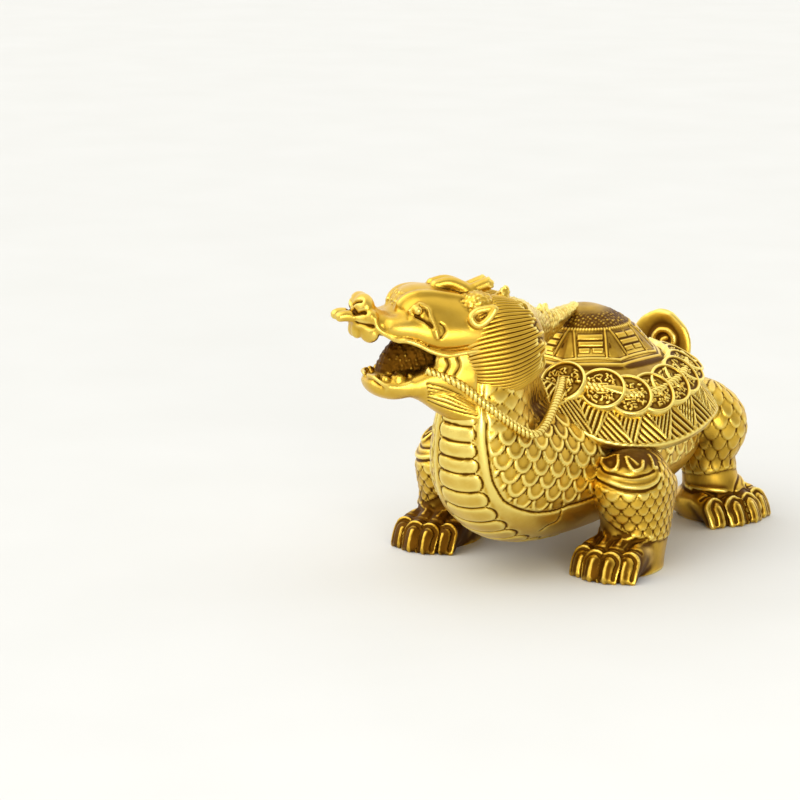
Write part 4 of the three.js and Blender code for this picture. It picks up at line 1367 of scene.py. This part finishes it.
@dataclass
class Shell:
    """The shell: a dome, eight flat panels round it, a garland band and a hatched hem.

    A line is given as its rise and its width, and the stipple as its pitch and its rise.
    """

    middle: Place = (0, 2, 0)
    profile: Sequence[tuple[float, float]] = (
        (0, 88.4), (5, 87.6), (9.5, 86), (14.5, 83.3), (19.2, 79.6), (23.8, 75.2), (27.8, 71.4),
        (32, 68.6), (36.5, 66.4), (42.5, 58.4), (50.4, 44.6), (49, 41.8), (38, 43.5), (0, 45),
    )
    hem_row: int = 10
    hem_start: float = 34
    front_lift: float = 19
    front_reach: float = 26
    flank_lift: float = 4.5
    flank_between: tuple[float, float] = (60, 110)
    disc_radius: float = 17.0
    trigram_rows: Sequence[float] = (20.0, 22.4, 24.8)
    octagon_radius: float = 27.6
    octagon_lines: Table = ((0, 0.55), (0.9, -0.3), (1.8, 0.4))
    octagon_line_width: float = 0.42
    panel: float = 45
    panel_turn: float = -11
    beads: int = 96
    bead_rise: float = 0.5
    bead_width: float = 0.5
    stippled: tuple[float, float] = (8.5, 16.2)
    stipple: tuple[float, float] = (1.2, 0.5)
    bar_end: float = 4.7
    bar_gap: tuple[float, float] = (0.3, 0.8)
    bar_sides: tuple[float, float] = (1.0, 0.7)
    bar_rise: float = 0.55
    panel_edge: tuple[float, float] = (5.7, 6.1)
    panel_line: tuple[float, float] = (0.42, 0.4)
    hatch_pitch: float = 1.8
    hatch_slant: tuple[float, float] = (0.6, 0.8)
    hatch_rise: float = 0.42
    zigzag: tuple[float, float] = (0.5, 0.55)
    upper_line: tuple[float, float] = (0.4, 0.4)
    lower_line: tuple[float, float] = (0.55, 0.5)
    hem_teeth: int = 21
    hem_depth: float = 15.2
    columns: int = 580
    spacing: float = 0.55
    hidden_spacing: float = 2
    stipple_dirt: float = 0.25
    darkening: float = 0.26
    band: tuple[float, float] = (29.4, 38)
    wedge: tuple[float, float] = (18, 27)
    wedge_side: tuple[float, float] = (6.8, 7.4)

    def hem_lift(self, radius: Array, bearing: Array) -> Array:
        """How far the hem is lifted, high at the neck and over the thighs."""
        front = self.front_lift * bump(bearing, self.front_reach)
        flank = self.flank_lift * ease(np.abs(bearing), *self.flank_between)
        return (front + flank) * ease(radius, self.hem_start, self.profile[self.hem_row][0])

    def height(self, radius: Array, bearing: Array) -> Array:
        """The height of the smooth top at a radius and a bearing round from the front."""
        return look_up(radius, self.profile[:self.hem_row + 1]) + self.hem_lift(radius, bearing)

    def spot(self, radius: float, bearing: float) -> Array:
        """The place on the smooth top at a radius and a bearing."""
        angle = math.radians(bearing)
        top = float(self.height(np.array(radius), np.array(bearing)))
        return np.array([radius * math.sin(angle), -radius * math.cos(angle), top]) + np.array(self.middle)

    def within_panel(self, bearing: Array) -> Array:
        """The bearing from the middle of the panel that it falls in."""
        return (bearing - self.panel_turn + self.panel / 2) % self.panel - self.panel / 2

    def panels(self, radius: Array, bearing: Array) -> Array:
        """Gives the relief of the disc's beaded edge, the trigrams, their frames and the octagon.

        Args:
            radius: The radius before the rings turn octagonal.
            bearing: The bearing round from the front, in degrees.
        Returns:
            The height, in shares.
        """
        within = np.radians(self.within_panel(bearing))
        aside = np.abs(radius * np.sin(within))
        number = (np.floor((bearing - self.panel_turn + self.panel / 2) % 360 / self.panel) + 3) % 8
        relief = np.zeros(np.broadcast(radius, bearing).shape)
        for row, ring in enumerate(self.trigram_rows):
            broken = np.floor(number / 2**row) % 2 == 1
            bar = ease(aside, self.bar_end + 0.3, self.bar_end - 0.3)
            bar = bar * ease(np.abs(radius - ring), *self.bar_sides)
            relief += self.bar_rise * bar * np.where(broken, ease(aside, *self.bar_gap), 1)
        inner, outer = self.panel_edge
        grown = (radius - self.disc_radius) / (self.octagon_radius - self.disc_radius)
        edge = inner + (outer - inner) * grown
        kept = ease(radius, self.disc_radius, self.disc_radius + 0.5)
        kept = kept * ease(radius, self.octagon_radius, self.octagon_radius - 0.6)
        rise, width = self.panel_line
        relief += rise * kept * bump(aside - edge, width)
        angle = np.radians(bearing)
        beads = 0.7 + 0.3 * np.sin(angle * self.beads)
        relief += self.bead_rise * beads * bump(radius - self.disc_radius, self.bead_width)
        low, high = self.stippled
        marks = ease(radius, low, low + 3) * ease(radius, high + 0.3, high - 0.3)
        place = (radius * np.sin(angle), radius * np.cos(angle) * 0.8, 0 * radius)
        spot = np.stack(np.broadcast_arrays(*place), -1)
        pitch, rise = self.stipple
        relief += rise * marks * pellets(spot.reshape(-1, 3), pitch, 9).reshape(relief.shape)
        for beyond, rise in self.octagon_lines:
            relief += rise * bump(radius - self.octagon_radius - beyond, self.octagon_line_width)
        return relief

    def hem(self, run: Array, radius: Array, bearing: Array) -> Array:
        """Gives the relief of the hem: a zigzag, whose teeth are hatched one way and the other.

        Args:
            run: The length along the profile from the hem's upper line, in shares.
            radius: The radius.
            bearing: The bearing round from the front, in degrees.
        Returns:
            The height, in shares.
        """
        wide = 360 / self.hem_teeth
        turn = (bearing - self.panel_turn) / wide % 1
        part = run / self.hem_depth
        fold = 1 - np.abs(2 * turn - 1)
        arc = np.radians(bearing) * radius
        across, down = self.hatch_slant
        slanted = np.cos(2 * np.pi * (arc * across - run * down) / self.hatch_pitch)
        upright = np.cos(2 * np.pi * arc / self.hatch_pitch)
        inside = ease(part, 0.02, 0.06) * ease(part, 0.96, 0.92)
        rise, width = self.zigzag
        line = bump((fold - part) * wide * np.radians(1) * radius / 2, width)
        hatch = self.hatch_rise * np.where(fold > part, upright, slanted) * (1 - line)
        height = inside * (hatch + rise * line)
        for start, rise, width in ((self.hem_depth, *self.lower_line), (0, *self.upper_line)):
            height = height + rise * bump(run - start, width)
        return height

    def skin(self) -> Skin:
        """Makes the shell's surface."""
        knots = np.array(self.profile, float)
        lengths = np.linalg.norm(np.diff(knots, axis=0), axis=1)
        spacings = [self.spacing if i < self.hem_row else self.hidden_spacing for i in range(len(lengths))]
        steps = [max(round(length / spacing), 1) for length, spacing in zip(lengths, spacings)]
        rows = [
            start + (end - start) * np.arange(count)[:, None] / count
            for start, end, count in zip(knots, knots[1:], steps)
        ]
        line = np.concatenate([*rows, knots[-1:]])
        top = sum(steps[:self.hem_row]) + 1
        for _ in range(4):
            line[1:top - 2] = 0.5 * line[1:top - 2] + 0.25 * (line[:top - 3] + line[2:top - 1])
        bearing = np.linspace(-180, 180, self.columns, endpoint=False)[None, :]
        radius, height = line[:, 0, None], line[:, 1, None]
        squared = ease(radius, self.disc_radius, self.octagon_radius)
        squared = squared * (1 - ease(radius, self.octagon_radius, self.hem_start))
        corner = math.cos(math.radians(self.panel / 2)) / np.cos(np.radians(self.within_panel(bearing)))
        out = radius * (1 + (corner - 1) * squared)
        sloping = np.interp(0.3 * out + 0.7 * radius, line[:top, 0], line[:top, 1])
        level = np.where(squared > 0, sloping, height) + self.hem_lift(radius, bearing)
        angle = np.radians(bearing)
        points = np.stack([out * np.sin(angle), -out * np.cos(angle), level * np.ones_like(angle)], -1)
        skin = Skin.lofted(points + np.array(self.middle))
        relief = np.zeros(points.shape[:2])
        carved = radius[:top, 0] < self.hem_start
        relief[:top][carved] = self.panels(radius[:top][carved], bearing)
        run = np.concatenate([[0], np.cumsum(np.linalg.norm(np.diff(line[:top], axis=0), axis=1))])
        run = run - np.interp(43, line[:top, 0], run)
        low = run > -1.5
        relief[:top][low] = self.hem(run[low][:, None], radius[:top][low], bearing)
        return skin.raised(relief.ravel())

    def build(self, brass: bpy.types.Material) -> None:
        """Carves and places it."""
        skin = self.skin().patinated(broad_rounds=6)
        x, y, _ = (skin.points - np.array(self.middle)).T
        radius, bearing = np.hypot(x, y), np.degrees(np.arctan2(x, -y))
        aside = np.abs(radius * np.sin(np.radians(self.within_panel(bearing))))
        low, high = self.band
        plain = ease(radius, low, low + 0.8) * ease(radius, high, high - 1)
        low, high = self.wedge
        wedge = ease(aside, *self.wedge_side) * ease(radius, low, low + 1) * ease(radius, high, high - 1)
        plain = np.maximum(plain, wedge)
        low, high = self.stippled
        darkening = self.stipple_dirt * ease(radius, low - 2, low + 3) * ease(radius, high + 0.4, high)
        skin.patina_and_painted_shade = skin.patina_and_painted_shade * (1 - plain) + darkening + self.darkening
        place_piece("shell", skin, brass)


@dataclass
class Garland:
    """Coins laid round the shell like scales, and the cord that is threaded through them.

    A line is given as its rise and its width. The marks start at the first number of their ring and spread
    over the radius less the second. Half their length is the first number and up to the second more.
    """

    shell: Shell
    ring: Table = (
        (17, 39), (37.5, 39.2), (51, 40.8), (65, 40.8), (79, 39.8), (93, 38.8), (120, 37),
    )
    first: float = 17
    second: float = 37.5
    step: float = 13.8
    behind: int = 9
    slope: Table = ((90, 46), (130, 26))
    lean: float = 9
    radius: float = 13.8 / 2 / 1000 / SHARE
    rise: float = 1.7 / 1000 / SHARE
    root: float = 3.2 / 1000 / SHARE
    sunk: float = 1.1
    left_cord: Sequence[Place] = (
        (-6.2, -104.1, 81.6), (-2.4, -100.5, 79.4), (1.5, -98.8, 77.7), (5.1, -96, 74.8), (8.4, -93, 70.8),
        (12.8, -87.8, 65.4), (16.4, -82, 60.2), (19.3, -77.5, 56.9), (21, -74, 56), (21, -68.7, 57.3),
        (19.4, -61, 59.8), (16.4, -50, 63.6),
    )
    right_cord: Sequence[Place] = ((-18.6, -72, 61), (-21.6, -65, 55), (-20.8, -58, 56.4), (-17.4, -52, 61))
    bite: Sequence[Place] = ((12, -25, 83), (15, -15.6, 77.4), (16.2, -7.4, 71.4))
    around: int = 72
    rings: int = 30
    darkening: float = 0.3
    field_depth: float = 0.75
    rim: tuple[float, float] = (1.35, 0.95)
    hole_frame: float = 1.9
    hole_line: tuple[float, float] = (0.65, 0.35)
    marks: int = 54
    mark_ring: tuple[float, float] = (2.9, 5.2)
    mark_half: tuple[float, float] = (0.2, 0.55)
    mark_line: tuple[float, float] = (0.6, 0.36)
    wear: float = 0.3
    wear_width: float = 0.45

    @property
    def bearings(self) -> list[float]:
        """Where each coin sits round from the front, on one side."""
        return [self.first, *(self.second + i * self.step for i in range(self.behind))]

    def coin_place(self, side: int, bearing: float) -> tuple[Array, Array]:
        """Where a coin lies: its middle, and its directions across, up and outwards as columns."""
        facing, slope = math.radians(bearing - self.lean), math.radians(float(look_up(bearing, self.slope)))
        sin, cos = math.sin(facing), math.cos(facing)
        face = np.array([sin * side * math.sin(slope), -cos * math.sin(slope), math.cos(slope)])
        across = np.array([cos, sin * side, 0]) * side
        middle = self.shell.spot(float(look_up(bearing, self.ring)), side * bearing) + face * self.rise
        return middle, np.stack([across, np.cross(face, across), face], 1)

    def coin(self, seed: int) -> Skin:
        """Makes one coin, face up: a raised rim, a sunken field with marks, and a raised square frame in
        the middle.
        """
        radius = self.radius
        depth = self.rise + self.root
        rings = np.concatenate([np.linspace(0, radius - 0.25, self.rings), [radius, radius, radius, 0]])
        drop = np.concatenate([np.zeros(self.rings), [-0.35, -0.8 * depth, -depth, -depth]])
        angle = np.linspace(0, 2 * np.pi, self.around, endpoint=False)
        x, y = rings[:, None] * np.cos(angle), rings[:, None] * np.sin(angle)
        top = (drop == 0)[:, None]
        rim = ease(rings, radius - self.rim[0], radius - self.rim[1])[:, None]
        field = (1 - rim) * top
        square = np.maximum(np.abs(x), np.abs(y))
        rise, width = self.hole_line
        relief = field * (rise * bump(square - self.hole_frame, width) - self.field_depth)
        (first, taken), (least, more), (rise, width) = self.mark_ring, self.mark_half, self.mark_line
        random = np.random.default_rng(seed)
        for _ in range(self.marks):
            turn, out = random.random() * 2 * np.pi, first + random.random() * (radius - taken)
            at = np.array([math.cos(turn), math.sin(turn)]) * out
            lean, half = random.random() * np.pi, least + random.random() * more
            along = (x - at[0]) * math.cos(lean) + (y - at[1]) * math.sin(lean)
            beside = (y - at[1]) * math.cos(lean) - (x - at[0]) * math.sin(lean)
            away = np.hypot(np.maximum(np.abs(along) - half, 0), beside)
            relief = np.maximum(relief, field * (rise * bump(away, width) - self.field_depth))
        worn = self.wear * ease(rings, radius - self.wear_width, radius)[:, None] * top
        z = drop[:, None] + relief * top - worn
        return Skin.lofted(np.stack([x, y, z], -1))

    def coins(self) -> Skin:
        """Lays all the coins."""
        skins = []
        for side in SIDES:
            for number, bearing in enumerate(self.bearings):
                middle, basis = self.coin_place(side, bearing)
                coin = self.coin(number)
                skins.append(Skin(coin.points @ basis.T + middle, coin.faces).facing_out())
        return Skin.joined(skins)

    def strap(self, side: int) -> Skin:
        """Makes the flat end of the cord that lies over the second and third coins."""
        (first, basis), (second, _) = (self.coin_place(side, bearing) for bearing in self.bearings[1:3])
        way, out = second - first, basis[:, 2]
        course = ((0, 0.6, 0.8, 0.5), (0.35, 0.9, 1.5, 0.7), (0.8, 0.9, 1.9, 0.8), (1, 0.5, 1.0, 0.6))
        stations = [(*(first + way * part + out * rise), wide, tall) for part, rise, wide, tall in course]
        corners = np.array(stations)[:, :3]
        wax = Wax(tuple(corners.min(0) - 5), tuple(corners.max(0) + 5), 0.4)
        wax.press(Form.limb(stations, tuple(np.cross(way, out))), 0.5)
        return Skin.of(wax)

    def cords(self, side: int) -> list[Skin]:
        """Lays one side's cord: from the mouth down the neck, up to the first coin and through them all."""
        bitten = turned(np.array(self.bite) * np.array([side, 1, 1]), HEAD_TURN) + np.array(HEAD_SHIFT)
        places = [self.coin_place(side, bearing) for bearing in self.bearings]
        through = np.array([middle - basis[:, 2] * self.sunk for middle, basis in places])
        hanging = self.left_cord if side > 0 else [*bitten, *self.right_cord]
        return [rope(np.vstack([hanging, places[0][0][None]])), rope(through)]

    def build(self, brass: bpy.types.Material) -> None:
        """Places the coins and the cord."""
        coins = self.coins().patinated()
        coins.patina_and_painted_shade += self.darkening
        place_piece("coins", coins, brass)
        parts = [skin for side in SIDES for skin in (*self.cords(side), self.strap(side))]
        place_piece("cord", Skin.joined(parts).patinated(), brass)


def rope(places: Array, radius: float = 1.3 / 1000 / SHARE, lay: float = 1.9, strands: int = 3,
         spacing: float = 0.5, around: int = 20) -> Skin:
    """Twists a rope along places.

    Args:
        places: Places that it passes through, in shares.
        radius: Its radius.
        lay: The length of one full turn of its strands.
        strands: How many strands it has.
        spacing: The length of its mesh's steps.
        around: The points round it.
    Returns:
        Its skin.
    """
    fine = spline(places, np.linspace(0, len(places) - 1, 400))
    run = np.concatenate([[0], np.cumsum(np.linalg.norm(np.diff(fine, axis=0), axis=1))])
    along = np.arange(0, run[-1], spacing)
    line = np.stack([np.interp(along, run, fine[:, i]) for i in range(3)], 1)
    ahead = unit(np.gradient(line, axis=0))
    over = unit(np.cross(ahead, np.array([0, 0, 1.0]) + 0 * ahead))
    rise = np.cross(over, ahead)
    angle = np.linspace(0, 2 * np.pi, around, endpoint=False)[None, :]
    twist = np.abs(np.sin(strands / 2 * (angle + 2 * np.pi * along[:, None] / (lay * strands))))
    size = radius * (0.72 + 0.36 * twist)
    return Skin.lofted(rings_round(line, over, rise, size, size, angle), [line[0], line[-1]])


@dataclass
class Tail:
    """The tail: a stout root and an upright leaf with a scroll and veins on it."""

    root: Stations = ((0, 48, 44, 16, 13), (0, 58, 46, 13, 10.5), (0, 65, 55, 9.5, 6.5))
    leaf: Stations = (
        (0, 64.5, 48, 8, 3.2), (0.6, 66, 55, 12.4, 2.6), (1.2, 66.6, 62.5, 13.4, 2.2),
        (2.2, 66.4, 69.5, 10.6, 2), (3, 65.8, 74.6, 3.6, 1.6),
    )
    scroll: Sequence[Place] = (
        (-0.6, 64.2, 61), (-0.8, 64.2, 64.4), (1.6, 64.4, 67), (5, 64.4, 67), (7.4, 64.3, 64.6),
        (7, 64.2, 61.6), (4.2, 64, 60.6), (2.4, 64.2, 62.6), (4.4, 64.2, 64),
    )
    veins: Sequence[Sequence[Place]] = (
        ((0.6, 68.8, 50), (1, 69, 58), (1.6, 69, 66), (2.6, 68.6, 73)),
        ((0.8, 69, 54), (5, 69, 58), (8.6, 68.8, 63)), ((0.8, 69, 54), (-3.4, 69, 58), (-7, 68.8, 63)),
        ((1.2, 69, 60), (5.4, 69, 64), (8, 68.8, 68)), ((1.2, 69, 60), (-2.4, 69, 64), (-4.6, 68.8, 68)),
    )
    darkening: float = 0.4
    low: Place = (-20, 40, 28)
    high: Place = (20, 76, 80)
    step: float = 0.7

    def build(self, brass: bpy.types.Material) -> None:
        """Models and places it."""
        wax = Wax(self.low, self.high, self.step)
        wax.press(Form.limb(self.root), 2)
        wax.press(Form.limb(self.leaf), 2)
        wax.soften(3)
        wax.press(Form.roll(self.scroll, 1.3, 0.8), 0.4)
        skin = Skin.of(wax)
        veins = [Stroke(places, 0.5, 0.6).settled(wax) for places in self.veins]
        skin = skin.raised(drawn(skin.points, veins, False)).patinated()
        skin.patina_and_painted_shade += self.darkening
        place_piece("tail", skin, brass)


def aimed(way: Vector) -> Euler:
    """Gives the turn that aims a lamp along a way."""
    return way.to_track_quat("-Z", "Y").to_euler()


@dataclass
class Studio:
    """The camera, the table and the lights."""

    azimuth: float = 31.0
    pitch: float = 13.0
    distance: float = 1100.0
    lens_mm: float = 130.23
    sensor_mm: float = 36.0
    aside: float = 67.84
    above: float = -49.88
    table_size: float = 6.0
    dark_room: str = "#a5a095"
    backdrop: str = "#fafaf8"
    window_angle: float = math.radians(80)
    window_power: float = 1.9
    window_way: Place = (-0.45, -0.75, 0.85)
    fill_at: Place = (0.65, -0.65, 0.16)
    fill_size: float = 0.4
    fill_power: float = 4.4
    fill_towards: Place = (0, 0, 0.035)
    dark_until: float = -0.15
    bright_from: float = 0.55
    backdrop_rise: float = 0.55
    room_strength: float = 1.38

    def camera(self) -> None:
        """Sets up the camera."""
        a, p = math.radians(self.azimuth), math.radians(self.pitch)
        ahead = Vector((-math.sin(a) * math.cos(p), math.cos(a) * math.cos(p), -math.sin(p)))
        right = Vector((math.cos(a), math.sin(a), 0))
        up = right.cross(ahead)
        at = -(ahead * self.distance + right * self.aside + up * self.above)
        data = bpy.data.cameras.new("camera")
        data.lens = self.lens_mm
        data.sensor_width = self.sensor_mm
        data.clip_end = 20
        camera = in_scene("camera", data)
        turn = Matrix((right, up, -ahead)).transposed()
        camera.matrix_world = Matrix.Translation(Vector(in_metres(np.array(at)))) @ turn.to_4x4()
        bpy.context.scene.camera = camera

    def table(self) -> None:
        """Lays the table."""
        half = self.table_size / 2 / SHARE
        corners = np.array([(-half, -half, 0), (half, -half, 0), (half, half, 0), (-half, half, 0)])
        skin = Skin(corners, np.array([[0, 1, 2, 3]]), np.zeros(4))
        mesh_of("table", skin, PaleTable().make())

    def fill(self) -> None:
        """Hangs a soft square lamp, in metres and watts."""
        data = bpy.data.lights.new("fill", "AREA")
        data.size = self.fill_size
        data.energy = self.fill_power
        lamp = in_scene("fill", data)
        lamp.location = self.fill_at
        lamp.rotation_euler = aimed(Vector(self.fill_towards) - Vector(self.fill_at))

    def window(self) -> None:
        """Lets broad soft daylight in from one way."""
        data = bpy.data.lights.new("window", "SUN")
        data.angle = self.window_angle
        data.energy = self.window_power
        in_scene("window", data).rotation_euler = aimed(-Vector(self.window_way))

    def room(self) -> None:
        """Makes the room that the metal mirrors: pale behind the figure and darker behind the camera."""
        world = bpy.data.worlds.new("room")
        tree = empty_tree(world)
        way = node(tree, "TexCoord").outputs["Generated"]
        a = math.radians(self.azimuth)
        behind = node(tree, "VectorMath", {"operation": "DOT_PRODUCT"}, n0=way,
                      n1=(-math.sin(a), math.cos(a), self.backdrop_rise))
        lit = node(tree, "MapRange", {"interpolation_type": "SMOOTHSTEP"}, Value=behind.outputs["Value"],
                   From_Min=self.dark_until, From_Max=self.bright_from)
        colour = node(tree, "Mix", {"data_type": "RGBA"}, n0=lit.outputs[0], n6=linear(self.dark_room),
                      n7=linear(self.backdrop))
        ground = node(tree, "Background", Color=colour.outputs[2], Strength=self.room_strength)
        node(tree, "OutputWorld", Surface=ground.outputs[0])
        bpy.context.scene.world = world
        bpy.context.scene.view_settings.view_transform = "Standard"

    def build(self) -> None:
        """Sets everything up."""
        self.camera()
        self.table()
        self.room()
        self.window()
        self.fill()


def main() -> None:
    """Builds the scene."""
    logging.basicConfig(level=logging.INFO, format="%(message)s", stream=sys.stdout)
    brass = PatinatedBrass().make()
    Studio().build()
    Trunk().build(brass)
    fore_leg().build(brass)
    hind_leg().build(brass)
    Head().build(brass)
    Mane().build(brass)
    shell = Shell()
    shell.build(brass)
    Garland(shell).build(brass)
    Tail().build(brass)


if __name__ == "__main__":
    main()
